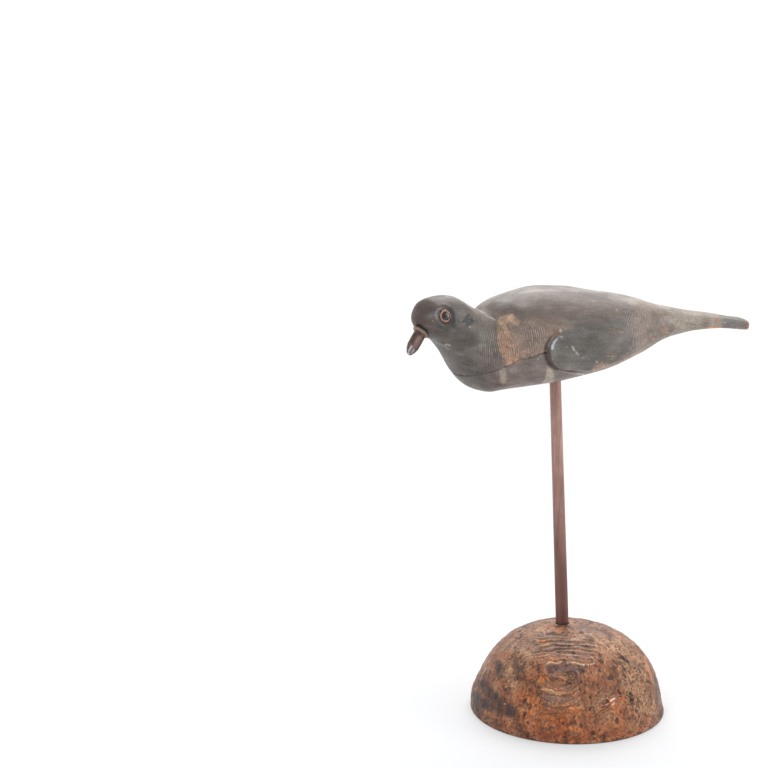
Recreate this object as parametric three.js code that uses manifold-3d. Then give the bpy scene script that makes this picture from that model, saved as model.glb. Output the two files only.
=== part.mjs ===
// A folk-art pigeon decoy, head down and turned to its left, on a leaning rod in a half dome of burl.
// Millimetres, +Z up. The head points to -X and the bird's left side to -Y.
// The origin is the middle of the flat underside of the burl base.

import * as THREE from 'three';
import { mergeVertices } from 'three/addons/utils/BufferGeometryUtils.js';
import Module from 'manifold-3d';

const wasm = await Module();
wasm.setup();

const DEGREE = Math.PI / 180;

// Driving dimensions

const FIT_GAP = 0.3; // between a piece and the wood it is let into or glued to

const BASE = {
  radius: 92.8,
  height: 82,
  shoulder: 1.7, // how soon the side turns in: 1 is a cone, higher is fuller
  crown: 2.8, // how flat the top is
  lump: 1.6, // height of the slow swells that a turned burl keeps
  footRound: 1.5,
  evenBelow: 12, // the swells start above this height
  evenWithin: 28, // and outside this radius
  swells: [ // how many go round, how they wind up the dome, where they start and their share
    { lobes: 3, winding: 4, start: 0, share: 0.6 },
    { lobes: 5, winding: -6, start: 1.2, share: 0.4 },
  ],
};

const ROD = {
  footX: -2.5,
  footY: 9.5,
  lean: 2.9 * DEGREE, // its top leans towards the head
  exposed: 240,
  footRadius: 6.3,
  topRadius: 5.5,
  socketInBase: 34,
  socketInBelly: 26,
};

const BIRD = {
  length: 287.5, // breast to tail end
  height: 95,
  halfWidth: 53.5,
  breastRound: 25,
  tailRound: 5,
  rodAt: 92.5, // from the breast to the rod
  mantleSlant: 34 * DEGREE, // the mantle is cut back on the side that the head turns to
  slantFrom: 32, // heights between which that cut comes in
  slantTo: 70,
  blend: 9, // radius of the hollow between neck and mantle
};

const HEAD = {
  length: 105.5, // forehead to the root of the neck
  halfWidth: 22,
  foreheadRound: 15,
  rootRound: 14,
  pivot: 30, // from the breast to the point that the head is turned about
  reach: 95.5, // from that point to the forehead
  turn: 25 * DEGREE,
};

const WING = {
  raise: 3.4,
  edge: 5, // width of the rounded step at its edge
  bendX: 89, // middle of the round front end, from the breast
  bendZ: 43,
  bendLength: 27,
  bendHeight: 20.5,
  aboveBelly: 9, // height of the lower edge over the belly, behind the bend
  softFrom: 74, // from here back the upper edge spreads, a millimetre for each one along
  softest: 18,
  tailFadeFrom: 125, // places along the bird between which the relief runs out
  tailFadeTo: 185,
};

// The glued joint rises from the breast, under the wing's bend, to the top of the rump
const JOINT = { height: 21.2, rise: 19.4 * DEGREE };

const EYE = {
  radius: 6,
  thickness: 5.4,
  alongHead: 17.3, // behind the forehead
  belowCrown: 14.8,
  proud: 1,
};

const BILL = {
  droop: 50 * DEGREE, // below the level of the head
  alongHead: 4.5, // middle of the collar, behind the forehead
  belowCrown: 31.4,
  length: 22.5, // collar to tip
  socket: 9,
  collarDepth: 8.6, // half sizes, in the plane of the head and across it
  collarWidth: 6.8,
  collarBand: 2.6,
  edge: 0.3, // width of the collar's sharp edge
  hook: 0.4, // drop of the tip
};

// The bird's middle line, from which its surface is found: distances before and behind the head's
// pivot where it changes from the head's own line to the body's, and its end short of the tail end
const MIDDLE_LINE = { leavesHead: 35, joinsBody: 5, startsToTurn: 30, endsTurn: 15, tailEnd: 9 };

const DETAIL = {
  frontRings: 42, // as far as the wing's bend
  rearRings: 20,
  noseRings: 7,
  tailRings: 4,
  bodySides: 42,
  sideDensity: 0.2, // how much closer the rays are on the sides than above and below
  baseSides: 44,
  baseRings: 15,
  rodSides: 20,
  billSides: 16,
  eyeSides: 12,
};

// The carver's pattern, one row to a station. The first four columns are percentages: of the length,
// of the bird's height for back and belly, and of the half width. Widest is where the side stands out
// most, from belly to back. The last two give the squareness of the section above and below it.
const BODY_PATTERN = [
  // along, back, belly, side, widest, above, below
  [0, 67.5, 0.5, 62, 44, 2.1, 2.8], // breast
  [3.5, 74, 0, 73, 46, 2.1, 2.7],
  [10, 88, 1, 85, 48, 2.1, 2.3], // mantle
  [16, 94, 2.2, 92.5, 48, 2.1, 2.2],
  [25.5, 99, 4, 98, 48, 2.2, 2.2],
  [36, 97.5, 9, 100, 48, 2.2, 2.2], // over the rod
  [47, 91.5, 16, 94, 48, 2.2, 2.2],
  [58, 85, 28, 75.5, 46, 2.2, 2.2],
  [67.5, 76, 41, 53, 46, 2.2, 2.2], // rump
  [77, 69.5, 47, 36, 50, 2.5, 2.4],
  [86.5, 64, 49.5, 29, 50, 3, 3], // tail
  [100, 56.5, 45.5, 26.5, 50, 3, 3],
];

const HEAD_PATTERN = [
  // along, crown, throat, side, widest, above, below
  [0, 85.5, 72, 70, 50, 2.1, 2], // forehead
  [9, 95.5, 63.5, 82, 50, 2.1, 2],
  [23.5, 99.8, 55.5, 97, 48, 2.1, 2], // crown
  [40, 98, 36.5, 107, 46, 2, 2.1],
  [54, 90.5, 17, 122, 42, 1.9, 2.2], // nape
  [69, 81.5, 5, 155, 42, 1.8, 2.2],
  [86, 73, 7, 190, 44, 1.9, 2.2],
  [100, 65.5, 15, 190, 46, 1.9, 2.2], // root, inside the breast
];

// The bill: percentages of its length from the collar, and of the collar's half sizes
const BILL_PATTERN = [
  // along, thickness
  [30, 72],
  [61, 70],
  [78, 57],
  [93, 35], // tip
];
const BILL_ROOT = 70;

// Helpers

const clamp = (value, low, high) => Math.min(Math.max(value, low), high);

function ramp(from, to, value) {
  const t = clamp((value - from) / (to - from), 0, 1);
  return t * t * (3 - 2 * t);
}

// A pattern read as a solid: negative inside, positive outside, about millimetres near the surface
class Loft {
  constructor(pattern, { start, length, height, halfWidth, frontRound, rearRound, slant = 0 }) {
    const half = halfWidth / 100;
    const tall = height / 100;
    this.at = pattern.map((row) => start + (row[0] * length) / 100);
    this.rows = pattern.map(([, top, bottom, side, widest, above, below]) => [
      top * tall, bottom * tall, side * half, widest / 100, above, below,
    ]);
    this.slopes = this.rows.map((row, i) => row.map((value, k) => this.slope(i, k)));
    this.front = { end: this.at[0], round: frontRound, slant: Math.tan(slant) };
    this.rear = { end: this.at.at(-1), round: rearRound };
  }

  slope(i, k) {
    const secant = (j) => (this.rows[j + 1][k] - this.rows[j][k]) / (this.at[j + 1] - this.at[j]);
    if (i === 0) return secant(0);
    if (i === this.rows.length - 1) return secant(i - 1);
    const before = this.at[i] - this.at[i - 1];
    const after = this.at[i + 1] - this.at[i];
    return (secant(i - 1) * after + secant(i) * before) / (before + after);
  }

  section(x) {
    const last = this.at.length - 1;
    const place = clamp(x, this.at[0], this.at[last]);
    let i = 0;
    while (i < last - 1 && this.at[i + 1] < place) i += 1;
    const span = this.at[i + 1] - this.at[i];
    const t = (place - this.at[i]) / span;
    const fromValue = (1 + 2 * t) * (1 - t) ** 2;
    const fromSlope = t * (1 - t) ** 2 * span;
    const toValue = t * t * (3 - 2 * t);
    const toSlope = t * t * (t - 1) * span;
    const [top, bottom, side, widest, above, below] = this.rows[i].map((value, k) => (
      fromValue * value + fromSlope * this.slopes[i][k]
      + toValue * this.rows[i + 1][k] + toSlope * this.slopes[i + 1][k]
    ));
    return { top, bottom, side, middle: bottom + (top - bottom) * widest, above, below };
  }

  distance(x, y, z) {
    const { top, bottom, side, middle, above, below } = this.section(x);
    const upper = z >= middle;
    const squareness = upper ? above : below;
    const reach = Math.max(upper ? top - middle : middle - bottom, 1);
    const across = (Math.abs(y) / side) ** squareness;
    const up = (Math.abs(z - middle) / reach) ** squareness;
    const cutBack = y * this.front.slant * ramp(BIRD.slantFrom, BIRD.slantTo, z);
    const front = Math.max(this.front.end + this.front.round - x - cutBack, 0) / this.front.round;
    const rear = Math.max(x - (this.rear.end - this.rear.round), 0) / this.rear.round;
    const level = Math.hypot((across + up) ** (1 / squareness), front, rear);
    return (level - 1) * Math.min(side, (top - bottom) / 2);
  }
}

// The bird, in its own frame: x from the breast towards the tail, z from the lowest point of the belly

const bodyLoft = new Loft(BODY_PATTERN, {
  start: 0,
  length: BIRD.length,
  height: BIRD.height,
  halfWidth: BIRD.halfWidth,
  frontRound: BIRD.breastRound,
  rearRound: BIRD.tailRound,
  slant: BIRD.mantleSlant,
});

const headLoft = new Loft(HEAD_PATTERN, {
  start: -HEAD.reach,
  length: HEAD.length,
  height: BIRD.height,
  halfWidth: HEAD.halfWidth,
  frontRound: HEAD.foreheadRound,
  rearRound: HEAD.rootRound,
});

function blended(a, b) {
  const near = Math.max(BIRD.blend - Math.abs(a - b), 0) / BIRD.blend;
  return Math.min(a, b) - (near * near * BIRD.blend) / 4;
}

function birdDistance({ x, y, z }) {
  const fromPivot = x - HEAD.pivot;
  const along = fromPivot * Math.cos(HEAD.turn) + y * Math.sin(HEAD.turn);
  const across = y * Math.cos(HEAD.turn) - fromPivot * Math.sin(HEAD.turn);
  return blended(bodyLoft.distance(x, y, z), headLoft.distance(along, across, z));
}

// How far the folded wing stands out from the side at a point
function wingRelief({ x, z }) {
  const { bendX, bendZ, bendLength, bendHeight } = WING;
  const lowest = bendZ - bendHeight;
  const rise = bodyLoft.section(x).bottom + WING.aboveBelly - lowest;
  const lowerEdge = lowest + rise * ramp(bendX, bendX + bendLength, x);
  const upperWidth = WING.edge + clamp(x - WING.softFrom, 0, WING.softest);
  const fromBend = Math.hypot((x - bendX) / bendLength, (z - bendZ) / bendHeight);
  const step = x < bendX
    ? ramp(0, z > bendZ ? upperWidth : WING.edge, bendHeight * (1 - fromBend))
    : ramp(0, WING.edge, z - lowerEdge) * ramp(0, upperWidth, bendZ + bendHeight - z);
  return WING.raise * step * (1 - ramp(WING.tailFadeFrom, WING.tailFadeTo, x));
}

// The point where a ray from inside the bird comes out, with the wing's relief added
function surfacePoint(origin, direction) {
  const at = (r) => origin.clone().addScaledVector(direction, r);
  const stride = 3;
  const halvings = 20;
  let inside = 0;
  let outside = stride;
  while (birdDistance(at(outside)) < 0) {
    inside = outside;
    outside += stride;
  }
  for (let i = 0; i < halvings; i += 1) {
    const middle = (inside + outside) / 2;
    if (birdDistance(at(middle)) < 0) inside = middle;
    else outside = middle;
  }
  const point = at(inside);
  return point.addScaledVector(direction, wingRelief(point));
}

// Stations along the bird's middle line: where the rays start, how far the ring is turned with the
// head, and the tilt of its rays from the middle line
function birdStations() {
  const { leavesHead, joinsBody, startsToTurn, endsTurn, tailEnd } = MIDDLE_LINE;
  const headCentre = HEAD.pivot - HEAD.reach + HEAD.halfWidth;
  const wingBend = WING.bendX;
  const tailCentre = BIRD.length - tailEnd;
  const stations = [];
  const add = (x, tilt) => {
    const head = headLoft.section(x - HEAD.pivot);
    const headMiddle = (head.top + head.bottom) / 2;
    const toBody = ramp(HEAD.pivot - leavesHead, HEAD.pivot + joinsBody, x);
    stations.push({
      x,
      z: headMiddle + (bodyLoft.section(x).middle - headMiddle) * toBody,
      turn: HEAD.turn * (1 - ramp(HEAD.pivot - startsToTurn, HEAD.pivot + endsTurn, x)),
      tilt,
    });
  };
  const addStretch = (from, to, count) => {
    for (let i = 0; i < count; i += 1) add(from + ((to - from) * i) / count, 90 * DEGREE);
  };
  for (let i = 1; i < DETAIL.noseRings; i += 1) add(headCentre, (90 * DEGREE * i) / DETAIL.noseRings);
  addStretch(headCentre, wingBend, DETAIL.frontRings);
  addStretch(wingBend, tailCentre, DETAIL.rearRings);
  for (let i = 0; i < DETAIL.tailRings; i += 1) {
    add(tailCentre, 90 * DEGREE * (1 + i / DETAIL.tailRings));
  }
  return stations;
}

function stationRay({ x, z, turn, tilt }, angle) {
  const cos = Math.cos(turn);
  const sin = Math.sin(turn);
  const fromPivot = x - HEAD.pivot;
  const origin = new THREE.Vector3(HEAD.pivot + fromPivot * cos, fromPivot * sin, z);
  const forward = -Math.cos(tilt);
  const sideways = Math.sin(tilt) * Math.cos(angle);
  const direction = new THREE.Vector3(
    forward * cos - sideways * sin,
    forward * sin + sideways * cos,
    Math.sin(tilt) * Math.sin(angle),
  );
  return surfacePoint(origin, direction);
}

// A closed surface through rings of points, with a point at each end
function skin(firstPoint, rings, lastPoint) {
  const sides = rings[0].length;
  const points = [firstPoint, ...rings.flat(), lastPoint];
  const vertex = (ring, side) => 1 + ring * sides + (side % sides);
  const last = points.length - 1;
  const index = [];
  for (let side = 0; side < sides; side += 1) {
    index.push(0, vertex(0, side + 1), vertex(0, side));
    index.push(last, vertex(rings.length - 1, side), vertex(rings.length - 1, side + 1));
    for (let ring = 0; ring < rings.length - 1; ring += 1) {
      const a = vertex(ring, side);
      const b = vertex(ring, side + 1);
      const c = vertex(ring + 1, side + 1);
      const d = vertex(ring + 1, side);
      index.push(a, b, c, a, c, d);
    }
  }
  const geometry = new THREE.BufferGeometry();
  const positions = points.flatMap((point) => point.toArray());
  geometry.setAttribute('position', new THREE.Float32BufferAttribute(positions, 3));
  geometry.setIndex(index);
  return geometry;
}

function birdGeometry() {
  const stations = birdStations();
  const angles = Array.from({ length: DETAIL.bodySides }, (_, i) => {
    const even = (2 * Math.PI * i) / DETAIL.bodySides;
    return even - DETAIL.sideDensity * Math.sin(2 * even);
  });
  const rings = stations.map((station) => angles.map((angle) => stationRay(station, angle)));
  const nose = stationRay({ ...stations[0], tilt: 0 }, 0);
  const tail = stationRay({ ...stations.at(-1), tilt: 180 * DEGREE }, 0);
  return skin(nose, rings, tail);
}

// Booleans

function solid(geometry) {
  const bare = geometry.clone();
  bare.deleteAttribute('normal');
  bare.deleteAttribute('uv');
  const merged = mergeVertices(bare, 1e-4);
  return new wasm.Manifold(new wasm.Mesh({
    numProp: 3,
    vertProperties: new Float32Array(merged.attributes.position.array),
    triVerts: new Uint32Array(merged.index.array),
  }));
}

function toGeometry(manifold) {
  const { vertProperties, triVerts } = manifold.getMesh();
  const geometry = new THREE.BufferGeometry();
  geometry.setAttribute('position', new THREE.BufferAttribute(new Float32Array(vertProperties), 3));
  geometry.setIndex(new THREE.BufferAttribute(new Uint32Array(triVerts), 1));
  geometry.computeVertexNormals();
  return geometry;
}

// A large block with one face on the glued joint, on its upper or its lower side
function jointBlock(side) {
  const size = 3 * BIRD.length;
  const block = new THREE.BoxGeometry(size, size, size);
  block.translate(0, 0, side * (size / 2 + FIT_GAP / 2));
  block.rotateY(-JOINT.rise);
  block.translate(0, 0, JOINT.height);
  return solid(block);
}

// Places on the head

// A point behind the forehead, across the head and below the crown
function onHead(alongHead, across, belowCrown) {
  const along = alongHead - HEAD.reach;
  const crown = (Math.max(...HEAD_PATTERN.map(([, top]) => top)) * BIRD.height) / 100;
  return new THREE.Vector3(
    HEAD.pivot + along * Math.cos(HEAD.turn) - across * Math.sin(HEAD.turn),
    along * Math.sin(HEAD.turn) + across * Math.cos(HEAD.turn),
    crown - belowCrown,
  );
}

// The point on the carved surface where an eye is set, and the way that it looks
function eyeSeat(side) {
  const origin = onHead(EYE.alongHead, 0, EYE.belowCrown);
  const outward = new THREE.Vector3(-Math.sin(HEAD.turn), Math.cos(HEAD.turn), 0).multiplyScalar(side);
  const seat = surfacePoint(origin, outward);
  const slope = (axis) => {
    const step = new THREE.Vector3().setComponent(axis, 1);
    return birdDistance(seat.clone().add(step)) - birdDistance(seat.clone().sub(step));
  };
  return { seat, normal: new THREE.Vector3(slope(0), slope(1), slope(2)).normalize() };
}

// A flattened bead, bedded in the wood so that it stands out by EYE.proud
function eyeBead(side, extra = 0) {
  const { seat, normal } = eyeSeat(side);
  const sphere = new THREE.SphereGeometry(1, DETAIL.eyeSides, DETAIL.eyeSides / 2);
  sphere.scale(EYE.radius + extra, EYE.thickness / 2 + extra, EYE.radius + extra);
  const upright = new THREE.Vector3(0, 1, 0);
  sphere.applyQuaternion(new THREE.Quaternion().setFromUnitVectors(upright, normal));
  const { x, y, z } = seat.addScaledVector(normal, EYE.proud - EYE.thickness / 2);
  return sphere.translate(x, y, z);
}

// The bill lies along its own axis: 0 at the front of the collar, its tip at BILL.length
function billGeometry(extra = 0) {
  const { length, socket, collarDepth, collarWidth, collarBand, edge, hook } = BILL;
  const outline = [
    [-socket, 50],
    [-collarBand, 94],
    [-collarBand / 2, 100],
    [-edge, 95],
    [edge, BILL_ROOT],
    ...BILL_PATTERN.map(([along, share]) => [(along * length) / 100, share]),
  ];
  const drop = (along) => hook * (Math.max(along, 0) / length) ** 2;
  const rings = outline.map(([along, share]) => (
    Array.from({ length: DETAIL.billSides }, (_, i) => {
      const angle = (-2 * Math.PI * i) / DETAIL.billSides;
      return new THREE.Vector3(
        -along,
        Math.cos(angle) * ((collarWidth * share) / 100 + extra),
        Math.sin(angle) * ((collarDepth * share) / 100 + extra) - drop(along),
      );
    })
  ));
  const back = new THREE.Vector3(socket + extra, 0, 0);
  const tip = new THREE.Vector3(-length, 0, -hook);
  const geometry = skin(back, rings, tip);
  geometry.rotateY(-BILL.droop);
  geometry.rotateZ(HEAD.turn);
  const { x, y, z } = onHead(BILL.alongHead, 0, BILL.belowCrown);
  return geometry.translate(x, y, z);
}

// The rod, in the world: its foot is on top of the dome

const domeProfile = (z) => BASE.radius * (1 - (z / BASE.height) ** BASE.shoulder) ** (1 / BASE.crown);

function domeHeight(radius) {
  const share = Math.min(radius / BASE.radius, 1);
  return BASE.height * (1 - share ** BASE.crown) ** (1 / BASE.shoulder);
}

const rodFoot = new THREE.Vector3(ROD.footX, ROD.footY, domeHeight(Math.hypot(ROD.footX, ROD.footY)));
const rodDirection = new THREE.Vector3(-Math.sin(ROD.lean), 0, Math.cos(ROD.lean));
const rodTop = rodFoot.clone().addScaledVector(rodDirection, ROD.exposed);

// The rod between two distances from its foot, wider by extra
function rodGeometry(from, to, extra = 0) {
  const radiusAt = (s) => ROD.footRadius + ((ROD.topRadius - ROD.footRadius) * s) / ROD.exposed;
  const length = to - from;
  const cylinder = new THREE.CylinderGeometry(
    radiusAt(to) + extra, radiusAt(from) + extra, length, DETAIL.rodSides,
  );
  cylinder.rotateX(90 * DEGREE);
  cylinder.translate(0, 0, from + length / 2);
  cylinder.rotateY(-ROD.lean);
  return cylinder.translate(rodFoot.x, rodFoot.y, rodFoot.z);
}

// Slow swells that turning leaves in a burl: how far the side stands out, from -1 to 1
function burlSwell(x, y, z) {
  const { height, evenBelow, evenWithin, swells } = BASE;
  const turn = Math.atan2(y, x);
  const fade = ramp(0, evenBelow, z) * ramp(0, evenWithin, Math.hypot(x, y));
  return swells.reduce((sum, { lobes, winding, start, share }) => (
    sum + fade * share * Math.sin(lobes * turn + (winding * z) / height + start)
  ), 0);
}

function baseGeometry() {
  const { radius, height, footRound, lump } = BASE;
  const profile = [new THREE.Vector2(0, 0), new THREE.Vector2(radius - footRound, 0)];
  for (let i = 0; i < DETAIL.baseRings; i += 1) {
    const z = footRound + (height - footRound) * Math.sin((90 * DEGREE * i) / DETAIL.baseRings);
    profile.push(new THREE.Vector2(domeProfile(z), z));
  }
  profile.push(new THREE.Vector2(0, height));
  const lathe = new THREE.LatheGeometry(profile, DETAIL.baseSides);
  lathe.rotateX(90 * DEGREE);
  const position = lathe.attributes.position;
  const point = new THREE.Vector3();
  for (let i = 0; i < position.count; i += 1) {
    point.fromBufferAttribute(position, i);
    const grow = 1 + (lump * burlSwell(point.x, point.y, point.z)) / radius;
    position.setXY(i, point.x * grow, point.y * grow);
  }
  return lathe;
}

// Pieces

const birdPlace = rodTop.clone().sub(
  new THREE.Vector3(BIRD.rodAt, 0, bodyLoft.section(BIRD.rodAt).bottom),
);

// The rod's socket, moved into the bird's frame
const bellySocket = rodGeometry(-ROD.exposed, ROD.exposed + ROD.socketInBelly + FIT_GAP, FIT_GAP)
  .translate(-birdPlace.x, -birdPlace.y, -birdPlace.z);
const baseSocket = rodGeometry(-ROD.socketInBase - FIT_GAP, ROD.exposed, FIT_GAP);

const carvedBird = solid(birdGeometry());
const upperBlock = carvedBird
  .intersect(jointBlock(1))
  .subtract(solid(eyeBead(-1, FIT_GAP)))
  .subtract(solid(eyeBead(1, FIT_GAP)))
  .subtract(solid(billGeometry(FIT_GAP)));
const lowerBlock = carvedBird.intersect(jointBlock(-1)).subtract(solid(bellySocket));
const burlBase = solid(baseGeometry()).subtract(solid(baseSocket));

function piece(name, geometry, color, roughness, metalness = 0) {
  const material = new THREE.MeshStandardMaterial({ color, roughness, metalness });
  const mesh = new THREE.Mesh(geometry, material);
  mesh.name = name;
  return mesh;
}

const bird = new THREE.Group();
bird.position.copy(birdPlace);
bird.add(
  piece('upper_block', toGeometry(upperBlock), 0x6b6561, 0.62),
  piece('lower_block', toGeometry(lowerBlock), 0x6f6a66, 0.62),
  piece('bill', billGeometry(), 0x4a352e, 0.25),
  piece('left_eye', eyeBead(-1), 0x4a2218, 0.08),
  piece('right_eye', eyeBead(1), 0x4a2218, 0.08),
);

const decoy = new THREE.Group();
decoy.add(
  bird,
  piece('rod', rodGeometry(-ROD.socketInBase, ROD.exposed + ROD.socketInBelly), 0x7d554c, 0.55),
  piece('burl_base', toGeometry(burlBase), 0x8a5a3a, 0.45),
);

export default decoy;
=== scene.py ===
"""Dresses a folk-art pigeon decoy: a carved and painted bird on a rod in a half dome of burl wood.

Sizes are in millimetres until a mesh is written, which is in metres. The bird has a frame of its own: x runs
from the breast to the tail, z up from the lowest point of the belly, and its left side is at minus y.
"""

import logging
import math
from dataclasses import dataclass, field
from enum import Enum
from typing import Optional, Sequence

import bpy
import numpy as np
from mathutils import Matrix, Vector


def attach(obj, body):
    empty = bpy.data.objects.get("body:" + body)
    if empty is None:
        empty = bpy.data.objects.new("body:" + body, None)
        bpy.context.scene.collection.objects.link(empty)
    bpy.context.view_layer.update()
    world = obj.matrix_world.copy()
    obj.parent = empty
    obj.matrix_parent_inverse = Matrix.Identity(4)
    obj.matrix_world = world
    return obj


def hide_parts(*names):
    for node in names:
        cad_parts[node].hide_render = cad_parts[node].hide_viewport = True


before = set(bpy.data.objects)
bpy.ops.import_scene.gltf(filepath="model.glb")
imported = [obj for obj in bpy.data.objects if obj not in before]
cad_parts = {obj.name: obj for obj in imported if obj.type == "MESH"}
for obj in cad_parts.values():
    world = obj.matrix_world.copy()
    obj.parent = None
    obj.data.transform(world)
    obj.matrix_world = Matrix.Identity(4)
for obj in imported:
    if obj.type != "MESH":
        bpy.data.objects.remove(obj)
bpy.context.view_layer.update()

MM = 0.001
ROOT = "root"
SOCKET_PLAY = 0.3
SHARP = math.radians(38.0)
TINY = 1e-9
log = logging.getLogger("decoy")

Array = np.ndarray
Colour = tuple[float, float, float]
Row = tuple[float, float, float]
Numbers = tuple[float, ...]
Shape = tuple[Array, Sequence[Sequence[int]]]
Object = bpy.types.Object
Material = bpy.types.Material
Tree = bpy.types.NodeTree
Socket = bpy.types.NodeSocket
Sockets = bpy.types.bpy_prop_collection
Value = float | Socket


def unit(values: Array) -> Array:
    """Numbers kept from 0 to 1."""
    return np.clip(values, 0, 1)


def smooth(low: float, high: float, value: Array) -> Array:
    """Rises from 0 at low to 1 at high without a corner, or falls where low is the larger."""
    t = unit((value - low) / (high - low))
    return t * t * (3 - 2 * t)


def band(value: Array, start: float, full: float, until: float, gone: float) -> Array:
    """1 between full and until, falling to 0 at start and at gone."""
    return smooth(start, full, value) * smooth(gone, until, value)


def bump_at(value: Array, centre: float, width: float) -> Array:
    """A bell of height 1 about centre."""
    return np.exp(-(((value - centre) / width) ** 2))


def srgb(red: int, green: int, blue: int) -> Colour:
    """A colour named by its 0 to 255 values, as the linear values that the shaders want."""
    def linear(value: int) -> float:
        """One of the three."""
        share = value / 255
        return share / 12.92 if share <= 0.04045 else ((share + 0.055) / 1.055) ** 2.4
    return linear(red), linear(green), linear(blue)


class Ripples:
    """A smooth random field in space: the sum of many plane waves, about -2 to 2."""

    def __init__(self, seed: int, size: float, stretch: Row = (1.0, 1.0, 1.0), count: int = 28) -> None:
        """Draws the waves.

        Args:
            seed: Fixes the draw.
            size: Typical distance between two crests.
            stretch: How much longer than size the crests are along each axis.
            count: Number of waves.
        """
        rng = np.random.default_rng(seed)
        direction = rng.normal(size=(count, 3))
        direction /= np.linalg.norm(direction, axis=1, keepdims=True)
        length = size * rng.uniform(0.6, 1.7, (count, 1))
        self.waves = math.tau * direction / length / np.array(stretch)
        self.phase = rng.uniform(0.0, math.tau, count)

    def __call__(self, points: Array) -> Array:
        """The field at each point."""
        total = np.zeros(points.shape[:-1])
        for wave, phase in zip(self.waves, self.phase):
            total += np.sin(points @ wave + phase)
        return total / math.sqrt(len(self.phase) / 2)


# Sizes of the pieces, as in the solid model


@dataclass(frozen=True)
class BaseSizes:
    """The half dome of burl."""

    radius: float = 92.8
    height: float = 82.0
    shoulder: float = 1.7
    crown: float = 2.8
    lump: float = 1.6
    foot_round: float = 1.5
    even_below: float = 12.0
    even_within: float = 28.0
    swells: tuple[tuple[int, int, float, float], ...] = ((3, 4, 0.0, 0.6), (5, -6, 1.2, 0.4))

    def top_at(self, radius: Array) -> Array:
        """Height of the dome at a distance from its axis."""
        share = unit(radius / self.radius)
        return self.height * (1 - share**self.crown) ** (1 / self.shoulder)

    def radius_at(self, height: Array) -> Array:
        """Radius of the dome at a height."""
        share = unit(height / self.height)
        return self.radius * (1 - share**self.shoulder) ** (1 / self.crown)


@dataclass(frozen=True)
class RodSizes:
    """The rod between the dome and the belly."""

    foot_x: float = -2.5
    foot_y: float = 9.5
    lean: float = math.radians(2.9)
    exposed: float = 240.0
    foot_radius: float = 6.3
    top_radius: float = 5.5
    socket_in_base: float = 34.0
    socket_in_belly: float = 26.0

    def point(self, base: BaseSizes, along: float) -> Array:
        """A point on the rod's axis.

        Args:
            base: The dome that its foot stands on.
            along: Distance from the foot.

        Returns:
            The point in the world.
        """
        foot_z = float(base.top_at(np.hypot(self.foot_x, self.foot_y)))
        foot = np.array([self.foot_x, self.foot_y, foot_z])
        return foot + along * np.array([-math.sin(self.lean), 0.0, math.cos(self.lean)])

    def radius_at(self, along: float) -> float:
        """Radius of the rod at a distance from its foot."""
        return self.foot_radius + (self.top_radius - self.foot_radius) * along / self.exposed

    def away(self, points: Array) -> Array:
        """How far points lie from the rod's foot, seen from above."""
        return np.hypot(points[:, 0] - self.foot_x, points[:, 1] - self.foot_y)


@dataclass(frozen=True)
class BirdSizes:
    """The body, without the head."""

    length: float = 287.5
    height: float = 95.0
    half_width: float = 53.5
    breast_round: float = 25.0
    tail_round: float = 5.0
    rod_at: float = 92.5
    mantle_slant: float = math.radians(34.0)
    slant_from: float = 32.0
    slant_to: float = 70.0
    blend: float = 9.0


@dataclass(frozen=True)
class HeadSizes:
    """The head and neck, which lie along a line turned about the pivot."""

    length: float = 105.5
    half_width: float = 22.0
    forehead_round: float = 15.0
    root_round: float = 14.0
    pivot: float = 30.0
    reach: float = 95.5
    turn: float = math.radians(25.0)

    def place(self, along_head: float, across: float, height: float) -> Array:
        """A point of the head.

        Args:
            along_head: Distance behind the forehead.
            across: Distance to the right.
            height: Height above the belly.

        Returns:
            The point in the bird's frame.
        """
        along = along_head - self.reach
        cos, sin = math.cos(self.turn), math.sin(self.turn)
        return np.array([self.pivot + along * cos - across * sin, along * sin + across * cos, height])


@dataclass(frozen=True)
class WingSizes:
    """The folded wing in low relief."""

    rise: float = 3.4
    edge: float = 5.0
    bend_x: float = 89.0
    bend_z: float = 43.0
    bend_length: float = 27.0
    bend_height: float = 20.5
    above_belly: float = 9.0
    soft_from: float = 74.0
    softest: float = 18.0
    tail_fade_from: float = 125.0
    tail_fade_to: float = 185.0


@dataclass(frozen=True)
class JointSizes:
    """The glued joint between the two blocks: a plane across the bird, a hair's breadth wide."""

    height: float = 21.2
    rise: float = math.radians(19.4)
    half_gap: float = 0.004


@dataclass(frozen=True)
class EyeSizes:
    """The glass eyes."""

    radius: float = 6.0
    thickness: float = 5.4
    along_head: float = 17.3
    below_crown: float = 14.8
    proud: float = 1.0


@dataclass(frozen=True)
class BillSizes:
    """The bill with its collar."""

    droop: float = math.radians(50.0)
    along_head: float = 4.5
    below_crown: float = 31.4
    length: float = 22.5
    socket: float = 9.0
    collar_depth: float = 8.6
    collar_width: float = 6.8
    collar_band: float = 2.6
    edge: float = 0.3
    hook: float = 0.4


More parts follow.
